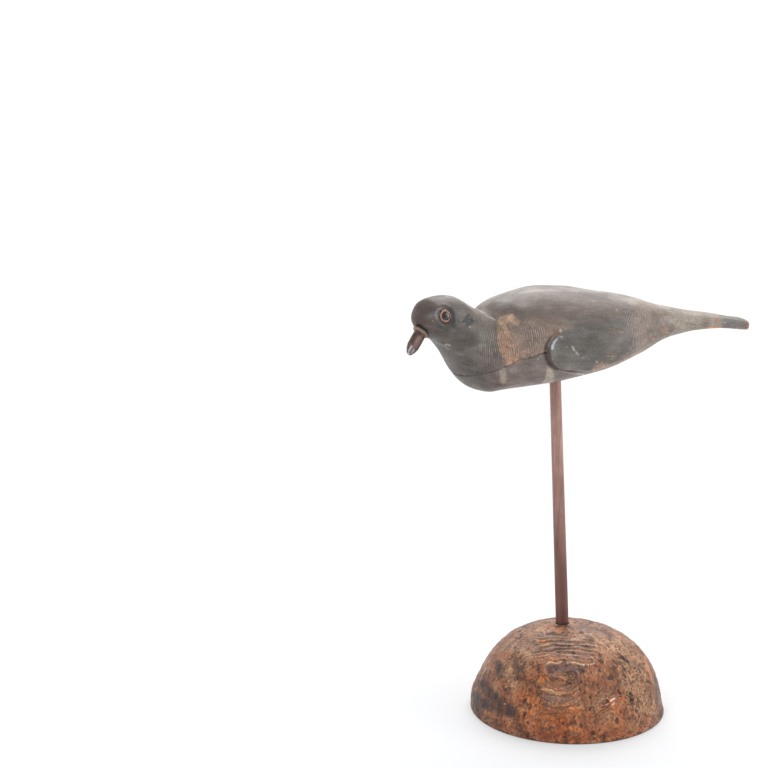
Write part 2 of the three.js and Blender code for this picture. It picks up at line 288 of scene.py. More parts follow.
# The carver's pattern: along, back, belly and side in percent, widest point, squareness above and below
BODY_PATTERN = (
    (0, 67.5, 0.5, 62, 44, 2.1, 2.8),
    (3.5, 74, 0, 73, 46, 2.1, 2.7),
    (10, 88, 1, 85, 48, 2.1, 2.3),
    (16, 94, 2.2, 92.5, 48, 2.1, 2.2),
    (25.5, 99, 4, 98, 48, 2.2, 2.2),
    (36, 97.5, 9, 100, 48, 2.2, 2.2),
    (47, 91.5, 16, 94, 48, 2.2, 2.2),
    (58, 85, 28, 75.5, 46, 2.2, 2.2),
    (67.5, 76, 41, 53, 46, 2.2, 2.2),
    (77, 69.5, 47, 36, 50, 2.5, 2.4),
    (86.5, 64, 49.5, 29, 50, 3, 3),
    (100, 56.5, 45.5, 26.5, 50, 3, 3),
)
HEAD_PATTERN = (
    (0, 85.5, 72, 70, 50, 2.1, 2),
    (9, 95.5, 63.5, 82, 50, 2.1, 2),
    (23.5, 99.8, 55.5, 97, 48, 2.1, 2),
    (40, 98, 36.5, 107, 46, 2, 2.1),
    (54, 90.5, 17, 122, 42, 1.9, 2.2),
    (69, 81.5, 5, 155, 42, 1.8, 2.2),
    (86, 73, 7, 190, 44, 1.9, 2.2),
    (100, 65.5, 15, 190, 46, 1.9, 2.2),
)


@dataclass
class Loft:
    """A pattern read as a solid: negative inside, positive outside, about millimetres near the surface.

    Both ends are rounded off over a length. The slant is the tangent of the angle by which the upper front is cut
    back on the left.
    """

    pattern: Sequence[Numbers]
    start: float
    length: float
    height: float
    half_width: float
    front_round: float
    rear_round: float
    slant: float = 0.0

    def __post_init__(self) -> None:
        """Reads the pattern."""
        rows = np.array(self.pattern, float)
        scale = np.array([self.height, self.height, self.half_width, 1, 100, 100]) / 100
        self.at = self.start + rows[:, 0] * self.length / 100
        self.rows = rows[:, 1:] * scale
        steps = np.diff(self.at)[:, None]
        secants = np.diff(self.rows, axis=0) / steps
        inner = (secants[:-1] * steps[1:] + secants[1:] * steps[:-1]) / (steps[:-1] + steps[1:])
        self.slopes = np.concatenate([secants[:1], inner, secants[-1:]])

    def section(self, x: Array) -> tuple[Array, ...]:
        """The section at x.

        Args:
            x: Places along the pattern.

        Returns:
            Top, bottom, half width, height of the widest point and the two squarenesses.
        """
        place = np.clip(x, self.at[0], self.at[-1])
        i = np.clip(np.searchsorted(self.at, place, side="right") - 1, 0, len(self.at) - 2)
        span = self.at[i + 1] - self.at[i]
        t = ((place - self.at[i]) / span)[..., None]
        span = span[..., None]
        rows, slopes = self.rows, self.slopes
        values = (
            (1 + 2 * t) * (1 - t) ** 2 * rows[i] + t * (1 - t) ** 2 * span * slopes[i]
            + t * t * (3 - 2 * t) * rows[i + 1] + t * t * (t - 1) * span * slopes[i + 1]
        )
        top, bottom, side, widest, above, below = np.moveaxis(values, -1, 0)
        return top, bottom, side, bottom + (top - bottom) * widest, above, below

    def distance(self, x: Array, y: Array, z: Array, bird: BirdSizes) -> Array:
        """How far points lie outside the solid.

        Args:
            x: Their places along the pattern.
            y: Distance to the right.
            z: Height above the belly.
            bird: Says where the upper front is cut back.

        Returns:
            About millimetres, negative inside.
        """
        top, bottom, side, middle, above, below = self.section(x)
        upper = z >= middle
        squareness = np.where(upper, above, below)
        reach = np.maximum(np.where(upper, top - middle, middle - bottom), 1)
        across = (np.abs(y) / side) ** squareness
        up = (np.abs(z - middle) / reach) ** squareness
        cut_back = y * self.slant * smooth(bird.slant_from, bird.slant_to, z)
        front = np.maximum(self.at[0] + self.front_round - x - cut_back, 0) / self.front_round
        rear = np.maximum(x - (self.at[-1] - self.rear_round), 0) / self.rear_round
        level = np.sqrt((across + up) ** (2 / squareness) + front**2 + rear**2)
        return (level - 1) * np.minimum(side, (top - bottom) / 2)


@dataclass
class Form:
    """The whole bird as a solid, and the way its surface is found."""

    bird: BirdSizes = BirdSizes()
    head: HeadSizes = HeadSizes()
    wing: WingSizes = WingSizes()
    joint: JointSizes = JointSizes()
    stride: float = 3.0
    halvings: int = 12

    def __post_init__(self) -> None:
        """Reads the two patterns."""
        bird, head = self.bird, self.head
        self.body = Loft(
            BODY_PATTERN, 0.0, bird.length, bird.height, bird.half_width,
            bird.breast_round, bird.tail_round, math.tan(bird.mantle_slant),
        )
        self.neck = Loft(
            HEAD_PATTERN, -head.reach, head.length, bird.height, head.half_width,
            head.forehead_round, head.root_round,
        )

    def distance(self, points: Array) -> Array:
        """Signed distance-like value of the blended body and head."""
        x, y, z = np.moveaxis(points, -1, 0)
        cos, sin = math.cos(self.head.turn), math.sin(self.head.turn)
        from_pivot = x - self.head.pivot
        along = from_pivot * cos + y * sin
        across = y * cos - from_pivot * sin
        a = self.body.distance(x, y, z, self.bird)
        b = self.neck.distance(along, across, z, self.bird)
        near = np.maximum(self.bird.blend - np.abs(a - b), 0) / self.bird.blend
        return np.minimum(a, b) - near * near * self.bird.blend / 4

    def wing_depth(self, x: Array, z: Array) -> Array:
        """How far behind or above the wing's front and lower edge points lie.

        Args:
            x: Distance from the breast.
            z: Height above the belly.

        Returns:
            The depth, negative outside the wing.
        """
        w = self.wing
        lowest = w.bend_z - w.bend_height
        rise = self.body.section(x)[1] + w.above_belly - lowest
        lower_edge = lowest + rise * smooth(w.bend_x, w.bend_x + w.bend_length, x)
        from_bend = np.hypot((x - w.bend_x) / w.bend_length, (z - w.bend_z) / w.bend_height)
        return np.where(x < w.bend_x, w.bend_height * (1 - from_bend), z - lower_edge)

    def wing_fade(self, x: Array) -> Array:
        """1 over the front of the wing, 0 where its relief has run out."""
        return smooth(self.wing.tail_fade_to, self.wing.tail_fade_from, x)

    def wing_relief(self, points: Array) -> Array:
        """How far the folded wing stands out at points."""
        w = self.wing
        x, z = points[..., 0], points[..., 2]
        depth = self.wing_depth(x, z)
        upper_width = w.edge + np.clip(x - w.soft_from, 0, w.softest)
        front = smooth(0, np.where(z > w.bend_z, upper_width, w.edge), depth)
        behind = smooth(0, w.edge, depth) * smooth(0, upper_width, w.bend_z + w.bend_height - z)
        return w.rise * np.where(x < w.bend_x, front, behind) * self.wing_fade(x)

    def from_joint(self, points: Array) -> Array:
        """Distance above the plane of the glued joint."""
        rise = self.joint.rise
        return (points[..., 2] - self.joint.height) * math.cos(rise) - points[..., 0] * math.sin(rise)

    def crown(self) -> float:
        """Height of the top of the head."""
        return max(row[1] for row in HEAD_PATTERN) * self.bird.height / 100

    def surface(self, origins: Array, directions: Array) -> Array:
        """Where rays from inside come out, with the wing's relief added along them.

        Args:
            origins: Start of each ray.
            directions: The way it goes, of length 1.

        Returns:
            A point for each ray.
        """
        inside = np.zeros(len(origins))
        outside = np.full(len(origins), self.stride)
        active = np.arange(len(origins))
        while len(active):
            at = origins[active] + directions[active] * outside[active, None]
            active = active[self.distance(at) < 0]
            inside[active] = outside[active]
            outside[active] += self.stride
        for _ in range(self.halvings):
            middle = (inside + outside) / 2
            within = self.distance(origins + directions * middle[:, None]) < 0
            inside = np.where(within, middle, inside)
            outside = np.where(within, outside, middle)
        points = origins + directions * inside[:, None]
        return points + directions * self.wing_relief(points)[:, None]

    def stations(self, grid: "SkinGrid") -> Array:
        """Rows of x, height, turn and tilt along the bird's middle line, from the forehead to the tail."""
        head, bird = self.head, self.bird
        head_centre = head.pivot - head.reach + head.half_width
        tail_centre = bird.length - grid.tail_end
        quarter = math.pi / 2
        x = np.concatenate([
            np.full(grid.nose, head_centre),
            np.linspace(head_centre, self.wing.bend_x, grid.front, endpoint=False),
            np.linspace(self.wing.bend_x, tail_centre, grid.rear, endpoint=False),
            np.full(grid.tail + 1, tail_centre),
        ])
        tilt = np.concatenate([
            quarter * np.arange(grid.nose) / grid.nose,
            np.full(grid.front + grid.rear, quarter),
            quarter * (1 + np.arange(grid.tail + 1) / grid.tail),
        ])
        top, bottom = self.neck.section(x - head.pivot)[:2]
        head_middle = (top + bottom) / 2
        to_body = smooth(head.pivot - grid.leaves_head, head.pivot + grid.joins_body, x)
        z = head_middle + (self.body.section(x)[3] - head_middle) * to_body
        turn = head.turn * smooth(head.pivot + grid.ends_turn, head.pivot - grid.starts_to_turn, x)
        return np.stack([x, z, turn, tilt], axis=1)

    def skin(self, grid: "SkinGrid") -> "Skin":
        """The whole surface as rings of points with a point at each end."""
        even = math.tau * np.arange(grid.sides) / grid.sides
        angles = even - grid.side_density * np.sin(2 * even)
        x, z, turn, tilt = (column[:, None] for column in self.stations(grid).T)
        cos, sin = np.cos(turn), np.sin(turn)
        forward = -np.cos(tilt) + 0 * angles
        sideways = np.sin(tilt) * np.cos(angles)
        directions = np.stack([
            forward * cos - sideways * sin, forward * sin + sideways * cos, np.sin(tilt) * np.sin(angles),
        ], axis=-1)
        from_pivot = x - self.head.pivot
        origins = np.stack([self.head.pivot + from_pivot * cos, from_pivot * sin, z], axis=-1)
        origins = np.broadcast_to(origins, directions.shape)
        points = self.surface(origins.reshape(-1, 3), directions.reshape(-1, 3)).reshape(directions.shape)
        return Skin(points[0, 0], points[1:-1], points[-1, 0])


@dataclass(frozen=True)
class SkinGrid:
    """How finely the bird's surface is laid out, and the line that its rings follow."""

    nose: int = 36
    front: int = 286
    rear: int = 168
    tail: int = 12
    sides: int = 280
    side_density: float = 0.2
    leaves_head: float = 35.0
    joins_body: float = 5.0
    starts_to_turn: float = 30.0
    ends_turn: float = 15.0
    tail_end: float = 9.0


@dataclass
class Skin:
    """A closed surface: rings of points with a point at each end."""

    first: Array
    rings: Array
    last: Array

    def points(self) -> Array:
        """All points in one list."""
        return np.concatenate([[self.first], self.rings.reshape(-1, 3), [self.last]])

    def normals(self, first: Row, last: Row) -> Array:
        """Outward normals of all points.

        Args:
            first: Normal at the first end.
            last: Normal at the last end.

        Returns:
            One for each of points().
        """
        ends = np.ones((self.rings.shape[1], 3))
        closed = np.concatenate([[ends * self.first], self.rings, [ends * self.last]])
        around = np.roll(self.rings, -1, axis=1) - np.roll(self.rings, 1, axis=1)
        normals = np.cross(around, closed[2:] - closed[:-2]).reshape(-1, 3)
        normals = normals / np.maximum(np.linalg.norm(normals, axis=-1, keepdims=True), TINY)
        return np.concatenate([[first], normals, [last]])

    def faces(self) -> list[tuple[int, ...]]:
        """Faces as indices into points(), with their normals outward."""
        count, sides = self.rings.shape[:2]
        ids = 1 + np.arange(count * sides).reshape(count, sides)
        beside = np.roll(ids, -1, axis=1)
        last = 1 + count * sides
        quads = np.stack([ids[:-1], beside[:-1], beside[1:], ids[1:]], axis=-1).reshape(-1, 4)
        front = [(0, int(b), int(a)) for a, b in zip(ids[0], beside[0])]
        rear = [(last, int(a), int(b)) for a, b in zip(ids[-1], beside[-1])]
        return front + [tuple(quad) for quad in quads.tolist()] + rear


# Meshes


def to_object(name: str, shape: Shape) -> Object:
    """Makes a smooth-shaded object.

    Args:
        name: Name of the piece.
        shape: Its points in the world, in millimetres, and its faces.

    Returns:
        The object, at the origin, with its place in its mesh.
    """
    mesh = bpy.data.meshes.new(name)
    mesh.from_pydata((shape[0] * MM).tolist(), [], shape[1])
    mesh.validate()
    mesh.shade_smooth()
    thing = bpy.data.objects.new(name, mesh)
    bpy.context.scene.collection.objects.link(thing)
    return thing


def points_of(thing: Object) -> Array:
    """The object's points in millimetres."""
    flat = np.empty(len(thing.data.vertices) * 3)
    thing.data.vertices.foreach_get("co", flat)
    return flat.reshape(-1, 3) / MM


def normals_of(thing: Object) -> Array:
    """The object's vertex normals."""
    flat = np.empty(len(thing.data.vertices) * 3)
    thing.data.vertex_normals.foreach_get("vector", flat)
    return flat.reshape(-1, 3)


def set_masks(thing: Object, **masks: Array) -> None:
    """Writes named numbers on a piece's points for its shader."""
    for name, values in masks.items():
        layer = thing.data.attributes.new(name, "FLOAT", "POINT")
        layer.data.foreach_set("value", np.ascontiguousarray(values, np.float32))


def apply_modifiers(thing: Object) -> None:
    """Bakes the object's modifiers into its mesh."""
    graph = bpy.context.evaluated_depsgraph_get()
    baked = bpy.data.meshes.new_from_object(thing.evaluated_get(graph))
    old = thing.data
    thing.modifiers.clear()
    thing.data = baked
    bpy.data.meshes.remove(old)
    baked.name = thing.name


class Cut(Enum):
    """What a cutter leaves."""

    AWAY = "DIFFERENCE"
    KEEP = "INTERSECT"


def cut(thing: Object, cutters: Sequence[tuple[Object, Cut]]) -> None:
    """Cuts a closed piece with other closed pieces, which are then dropped."""
    for cutter, kind in cutters:
        modifier = thing.modifiers.new(cutter.name, "BOOLEAN")
        modifier.object, modifier.operation, modifier.solver = cutter, kind.value, "MANIFOLD"
    bpy.context.view_layer.update()
    apply_modifiers(thing)
    thing.data.set_sharp_from_angle(angle=SHARP)
    for cutter, _ in cutters:
        mesh = cutter.data
        bpy.data.objects.remove(cutter)
        bpy.data.meshes.remove(mesh)


def hand_over(thing: Object, material: Material, slot: str, *nodes: str) -> None:
    """Gives a piece its finish and its place in the model.

    Args:
        thing: The piece.
        material: Its finish.
        slot: The material slot it would take; not used.
        nodes: The solids that it stands for.
    """
    thing.data.materials.clear()
    thing.data.materials.append(material)
    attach(thing, ROOT)
    if nodes:
        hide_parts(*nodes)
    log.info("%s: %d faces", thing.name, len(thing.data.polygons))


# The photograph


@dataclass(frozen=True)
class Viewpoint:
    """Where the photograph was taken from, and where points show in it."""

    eye: Row = (-650.1, -1524.3, 658.8)
    forward: Row = (0.2863, 0.9364, -0.2028)
    right: Row = (0.9563, -0.2924, 0.0)
    lens: float = 85.0
    sensor: float = 36.0
    pixels: float = 768.0
    grazing: tuple[float, float] = (-0.05, 0.12)

    def up(self) -> Array:
        """The picture's upward direction."""
        return np.cross(self.right, self.forward)

    def sight(self, points: Array, normals: Array) -> "Sight":
        """Where points show in the photograph, and which of them do."""
        return Sight(*self.picture(points), smooth(*self.grazing, -(normals @ np.array(self.forward))))

    def picture(self, points: Array) -> tuple[Array, Array]:
        """Where points show, in pixels from the picture's upper left corner."""
        focal = self.lens / self.sensor * self.pixels
        seen = points - np.array(self.eye)
        depth = seen @ np.array(self.forward)
        across = focal * (seen @ np.array(self.right)) / depth
        down = -focal * (seen @ self.up()) / depth
        return self.pixels / 2 + across, self.pixels / 2 + down


@dataclass(frozen=True)
class Stroke:
    """A mark between two places in the picture, in pixels."""

    start: tuple[float, float]
    end: tuple[float, float]
    width: float
    strength: float = 1.0

    def mask(self, across: Array, down: Array) -> Array:
        """How much of the mark is at each place.

        Args:
            across: Pixels from the picture's left edge.
            down: Pixels from its upper edge.

        Returns:
            From 0 to the mark's strength.
        """
        a, b = np.array(self.start), np.array(self.end)
        line = b - a
        share = unit(((across - a[0]) * line[0] + (down - a[1]) * line[1]) / max(float(line @ line), TINY))
        distance = np.hypot(across - a[0] - share * line[0], down - a[1] - share * line[1])
        return self.strength * smooth(1.5 * self.width, 0.5 * self.width, distance)


Strokes = tuple[Stroke, ...]


def lines(*rows: Numbers) -> Strokes:
    """Strokes from place to place.

    Args:
        rows: Width, strength, then x and y of each place. One place alone is a spot.

    Returns:
        The strokes of all rows.
    """
    made = []
    for width, strength, *numbers in rows:
        places = list(zip(numbers[::2], numbers[1::2]))
        made += [Stroke(a, b, width, strength) for a, b in zip(places, places[1:] or places)]
    return tuple(made)


def arcs(*rows: Numbers, steps: int = 9) -> Strokes:
    """Strokes along parts of ellipses.

    Args:
        rows: Width, strength, centre x and y, both radii, then the ends in degrees clockwise from the right.
        steps: Number of places along each.

    Returns:
        The strokes of all rows.
    """
    curves = []
    for width, strength, x, y, wide, high, start, end in rows:
        turn = np.radians(np.linspace(start, end, steps))
        places = np.stack([x + wide * np.cos(turn), y + high * np.sin(turn)], axis=1)
        curves.append((width, strength, *places.ravel()))
    return lines(*curves)


@dataclass(frozen=True)
class Sight:
    """Where a piece's points show in the photograph, and how much of each does, from 0 to 1."""

    across: Array
    down: Array
    seen: Array

    def drawn(self, strokes: Strokes) -> Array:
        """The strongest of several marks at each point, on both sides of the piece."""
        total = np.zeros(self.across.shape)
        for stroke in strokes:
            total = np.maximum(total, stroke.mask(self.across, self.down))
        return total

    def marks(self, strokes: Strokes) -> Array:
        """The same, only on the side that the photograph shows."""
        return self.drawn(strokes) * self.seen

    def oval(self, x: float, y: float, wide: float, high: float) -> Array:
        """Distance from the middle of an oval, as a share of its size."""
        return np.hypot((self.across - x) / wide, (self.down - y) / high)


class Canvas:
    """Colours laid one over the other on a piece's points."""

    def __init__(self, count: int, ground: Colour) -> None:
        """Starts with one colour all over."""
        self.tone = np.tile(np.array(ground), (count, 1))

    def lay(self, colour: Colour, mask: Array) -> None:
        """Lays a colour on where the mask is."""
        self.tone += (np.array(colour) - self.tone) * unit(mask)[:, None]

    def write(self, thing: Object, shade: Array) -> None:
        """Makes the colours lighter or darker and writes them on the piece for its shader."""
        layer = thing.data.attributes.new("tone", "FLOAT_COLOR", "POINT")
        rgba = np.ones((len(shade), 4), np.float32)
        rgba[:, :3] = unit(self.tone * shade[:, None])
        layer.data.foreach_set("color", rgba.ravel())


# Shaders


class Graph:
    """Builds a node tree with short calls."""

    def __init__(self, tree: Tree) -> None:
        """Starts with an empty tree."""
        self.tree = tree
        tree.nodes.clear()

    def node(self, kind: str, inputs: Optional[dict] = None, **settings: object) -> bpy.types.Node:
        """Adds a node.

        Args:
            kind: Its type.
            inputs: Sockets to link or values to set, by name or number. A colour may leave out its alpha.
            settings: The node's own settings.

        Returns:
            The node.
        """
        made = self.tree.nodes.new(kind)
        for key, value in settings.items():
            setattr(made, key, value)
        for key, value in (inputs or {}).items():
            socket = made.inputs[key]
            if isinstance(value, Socket):
                self.tree.links.new(value, socket)
            else:
                socket.default_value = (*value, 1.0) if socket.type == "RGBA" and len(value) == 3 else value
        return made

    def math(self, operation: str, *values: Value) -> Socket:
        """A number worked out from others."""
        return self.node("ShaderNodeMath", dict(enumerate(values)), operation=operation).outputs[0]

    def plus(self, a: Value, b: Value) -> Socket:
        """The sum of two numbers."""
        return self.math("ADD", a, b)

    def minus(self, a: Value, b: Value) -> Socket:
        """One number less another."""
        return self.math("SUBTRACT", a, b)

    def times(self, a: Value, b: Value) -> Socket:
        """The product of two numbers."""
        return self.math("MULTIPLY", a, b)

    def over(self, a: Value, b: Value) -> Socket:
        """One number divided by another."""
        return self.math("DIVIDE", a, b)

    def range(self, value: Value, low: float, high: float, to_low: float = 0.0, to_high: float = 1.0) -> Socket:
        """A number carried smoothly from one range to another."""
        inputs = {"Value": value, "From Min": low, "From Max": high, "To Min": to_low, "To Max": to_high}
        return self.node("ShaderNodeMapRange", inputs, interpolation_type="SMOOTHSTEP").outputs["Result"]

    def vector(self, operation: str, *vectors: object) -> Socket:
        """A vector worked out from others."""
        return self.node("ShaderNodeVectorMath", dict(enumerate(vectors)), operation=operation).outputs[0]

    def scaled(self, vector: Socket, factor: float) -> Socket:
        """The vector times a number."""
        return self.node("ShaderNodeVectorMath", {0: vector, 3: factor}, operation="SCALE").outputs[0]

    def added(self, *vectors: Socket) -> Socket:
        """The sum of vectors."""
        total = vectors[0]
        for vector in vectors[1:]:
            total = self.vector("ADD", total, vector)
        return total

    def stretched(self, vector: Socket, scale: Sequence[float], turn: Sequence[float] = (0, 0, 0)) -> Socket:
        """The vector scaled along its axes, and turned."""
        return self.node("ShaderNodeMapping", {"Vector": vector, "Scale": scale, "Rotation": turn}).outputs[0]

    def axes(self, vector: Socket) -> Sockets:
        """The vector's x, y and z."""
        return self.node("ShaderNodeSeparateXYZ", {0: vector}).outputs

    def alike(self, value: Socket) -> Socket:
        """A vector or grey with the same number three times."""
        return self.node("ShaderNodeCombineXYZ", {0: value, 1: value, 2: value}).outputs[0]

    def mix(self, factor: Value, a: object, b: object, blend: str = "MIX") -> Socket:
        """One colour laid over another."""
        settings = {"data_type": "RGBA", "blend_type": blend, "clamp_result": True}
        return self.node("ShaderNodeMix", {0: factor, 6: a, 7: b}, **settings).outputs[2]

    def noise(
        self, vector: Socket, scale: Value, detail: float = 4.0, rough: float = 0.55, warp: float = 0.0,
    ) -> Socket:
        """Fractal noise from 0 to 1."""
        inputs = {"Vector": vector, "Scale": scale, "Detail": detail, "Roughness": rough, "Distortion": warp}
        return self.node("ShaderNodeTexNoise", inputs).outputs["Fac"]

    def ramp(self, factor: Socket, stops: Sequence[tuple[float, Colour]]) -> Socket:
        """Colours along a number."""
        made = self.node("ShaderNodeValToRGB", {"Fac": factor})
        elements = made.color_ramp.elements
        while len(elements) < len(stops):
            elements.new(0.5)
        for element, (position, colour) in zip(elements, stops):
            element.position, element.color = position, (*colour, 1.0)
        return made.outputs["Color"]

    def greys(self, factor: Socket, low: float, high: float) -> Socket:
        """Greys along a number."""
        return self.ramp(factor, [(0.0, (low,) * 3), (1.0, (high,) * 3)])

    def mask(self, name: str) -> Socket:
        """A number read from the mesh."""
        return self.node("ShaderNodeAttribute", attribute_name=name).outputs["Fac"]

    def tone(self) -> Socket:
        """The colour painted on the mesh."""
        return self.node("ShaderNodeAttribute", attribute_name="tone").outputs["Color"]

    def bump(self, height: Socket, distance: float, strength: float, below: Optional[Socket] = None) -> Socket:
        """A normal tilted by a height.

        Args:
            height: A number over the surface.
            distance: What a height of 1 stands for, in metres.
            strength: How much of it shows.
            below: The normal that it is laid on.

        Returns:
            The new normal.
        """
        inputs = {"Height": height, "Distance": distance, "Strength": strength}
        if below is not None:
            inputs["Normal"] = below
        return self.node("ShaderNodeBump", inputs).outputs["Normal"]

    def principled(
        self, colour: object, rough: Value, ior: float = 1.5, normal: Optional[Socket] = None,
        more: Optional[dict] = None,
    ) -> Socket:
        """The surface shader.

        Args:
            colour: Its base colour.
            rough: Its roughness.
            ior: How strongly it bends light.
            normal: The normal, where it is bumped.
            more: Other inputs by name.

        Returns:
            The shader.
        """
        inputs = {"Base Color": colour, "Roughness": rough, "IOR": ior, **(more or {})}
        if normal is not None:
            inputs["Normal"] = normal
        return self.node("ShaderNodeBsdfPrincipled", inputs).outputs[0]


class SharedEffect:
    """A node group that several finishes use, built when the first of them does."""

    title = ""
    inputs: dict[str, Optional[float]] = {}
    outputs: tuple[str, ...] = ()
    _kinds = {"Vector": "NodeSocketVector", "Colour": "NodeSocketColor"}
    _built: dict[str, Tree] = {}

    @classmethod
    def draw(cls, graph: Graph, given: Sockets) -> dict[str, Socket]:
        """Draws the group from its inputs and returns what it puts out."""
        raise NotImplementedError

    @classmethod
    def _tree(cls) -> Tree:
        """The group's tree, with named inputs and outputs."""
        tree = bpy.data.node_groups.new(cls.title, "ShaderNodeTree")
        for label, value in cls.inputs.items():
            kind = cls._kinds.get(label, "NodeSocketFloat")
            socket = tree.interface.new_socket(label, in_out="INPUT", socket_type=kind)
            if value is not None:
                socket.default_value = value
        for label in cls.outputs:
            tree.interface.new_socket(label, in_out="OUTPUT", socket_type=cls._kinds.get(label, "NodeSocketFloat"))
        graph = Graph(tree)
        graph.node("NodeGroupOutput", cls.draw(graph, graph.node("NodeGroupInput").outputs))
        return tree

    @classmethod
    def use(cls, graph: Graph, **inputs: Value) -> Sockets:
        """Adds the group to a finish and returns its outputs."""
        if cls.title not in cls._built:
            cls._built[cls.title] = cls._tree()
        return graph.node("ShaderNodeGroup", inputs, node_tree=cls._built[cls.title]).outputs


class WoodGrain(SharedEffect):
    """Streaks along the object's x axis."""

    title = "Wood grain"
    inputs = {"Vector": None, "Pitch": 0.002, "Length": 12.0}
    outputs = ("Streaks",)

    @classmethod
    def draw(cls, graph: Graph, given: Sockets) -> dict[str, Socket]:
        """Draws the streaks with noise that is squeezed along x."""
        squeeze = graph.over(1, given["Length"])
        scale = graph.node("ShaderNodeCombineXYZ", {0: squeeze, 1: 1, 2: 1}).outputs[0]
        drawn = graph.vector("MULTIPLY", given["Vector"], scale)
        streaks = graph.noise(drawn, graph.over(1, given["Pitch"]), 5, 0.6, 0.3)
        return {"Streaks": graph.range(streaks, 0.3, 0.7)}


class DustAndTopLight(SharedEffect):
    """Pale dusting on what faces up, partly painted top light."""

    title = "Settled dust"
    inputs = {"Colour": None, "Vector": None, "Amount": 0.3}
    outputs = ("Colour", "Mask")

    @classmethod
    def draw(cls, graph: Graph, given: Sockets) -> dict[str, Socket]:
        """Lays the dusting and painted top light in patches by the surface's slope."""
        up = graph.axes(graph.node("ShaderNodeNewGeometry").outputs["Normal"])[2]
        patchy = graph.noise(given["Vector"], 140, 5, 0.65)
        lies = graph.times(graph.range(up, 0.35, 0.95), graph.range(patchy, 0.2, 0.75, 0.4, 1))
        mask = graph.times(lies, given["Amount"])
        return {"Colour": graph.mix(mask, given["Colour"], srgb(196, 188, 180)), "Mask": mask}


class Handling(SharedEffect):
    """Blotches and specks of age."""

    title = "Handling"
    inputs = {"Colour": None, "Vector": None, "Strength": 0.3}
    outputs = ("Colour", "Height")

    @classmethod
    def draw(cls, graph: Graph, given: Sockets) -> dict[str, Socket]:
        """Makes the colour lighter and darker by broad and fine noise."""
        broad = graph.noise(given["Vector"], 55, 5, 0.6)
        fine = graph.noise(given["Vector"], 620, 3, 0.6)
        both = graph.plus(graph.times(broad, 0.6), graph.times(fine, 0.4))
        swing = graph.times(graph.minus(both, 0.5), given["Strength"])
        grey = graph.alike(graph.plus(graph.times(swing, 3), 1))
        return {"Colour": graph.mix(1, given["Colour"], grey, "MULTIPLY"), "Height": both}


@dataclass(frozen=True)
class Finish:
    """A procedural finish; the kinds below say how it looks."""

    name: str

    def material(self) -> Material:
        """The finish as a material."""
        made = bpy.data.materials.new(self.name)
        made.use_nodes = True
        graph = Graph(made.node_tree)
        shader = self.build(graph, graph.node("ShaderNodeTexCoord").outputs["Object"])
        graph.node("ShaderNodeOutputMaterial", {"Surface": shader})
        return made

    def build(self, graph: Graph, place: Socket) -> Socket:
        """Builds the shader.

        Args:
            graph: The material's nodes.
            place: Object coordinates in metres.

        Returns:
            The shader.
        """
        raise NotImplementedError


@dataclass(frozen=True)
class WornPaint(Finish):
    """Old matt paint whose tones are on the mesh, with comb marks, specks, a dark joint and painted shade in the
    hollows.
    """

    comb_pitch: float = 0.0019
    crest: Colour = srgb(206, 194, 183)
    trough: Colour = srgb(56, 46, 40)
    grime: Colour = srgb(26, 22, 20)
    # Share of pale dusting, partly painted top light.
    dust_and_top_light: float = 0.06
    roughness: float = 0.5

    def build(self, graph: Graph, place: Socket) -> Socket:
        """Builds the shader."""
        aged = Handling.use(graph, Colour=graph.tone(), Vector=place, Strength=0.68)
        grain = WoodGrain.use(graph, Vector=place, Pitch=0.0024, Length=9)["Streaks"]
        colour = graph.mix(0.22, aged["Colour"], graph.greys(grain, 0.35, 0.85), "OVERLAY")
        x, _, z = graph.axes(place)
        sway = graph.times(graph.noise(place, 70, 2), 9)
        leaning = graph.plus(x, graph.times(z, 0.04))
        comb = graph.math("SINE", graph.plus(graph.over(leaning, self.comb_pitch / math.tau), sway))
        broken = graph.range(graph.noise(graph.stretched(place, (1, 1, 0.25)), 420, 3), 0.38, 0.62)
        combed = graph.times(graph.mask("comb"), broken)
        crest = graph.times(graph.range(comb, 0.1, 0.9), combed)
        colour = graph.mix(graph.times(crest, 0.6), colour, self.crest)
        trough = graph.times(graph.range(comb, -0.2, -0.9), combed)
        colour = graph.mix(graph.times(trough, 0.55), colour, self.trough)
        dusted_and_lit = DustAndTopLight.use(graph, Colour=colour, Vector=place, Amount=self.dust_and_top_light)
        # A dark joint, and painted shade in the sockets and the wing's groove.
        colour = graph.mix(graph.mask("grime"), dusted_and_lit["Colour"], self.grime)
        rough = graph.minus(self.roughness, graph.times(graph.mask("gloss"), 0.3))
        rough = graph.plus(rough, graph.times(dusted_and_lit["Mask"], 0.25))
        normal = graph.bump(aged["Height"], 0.0006, 0.5)
        normal = graph.bump(graph.times(comb, combed), 0.0003, 0.9, normal)
        return graph.principled(colour, rough, 1.48, normal)


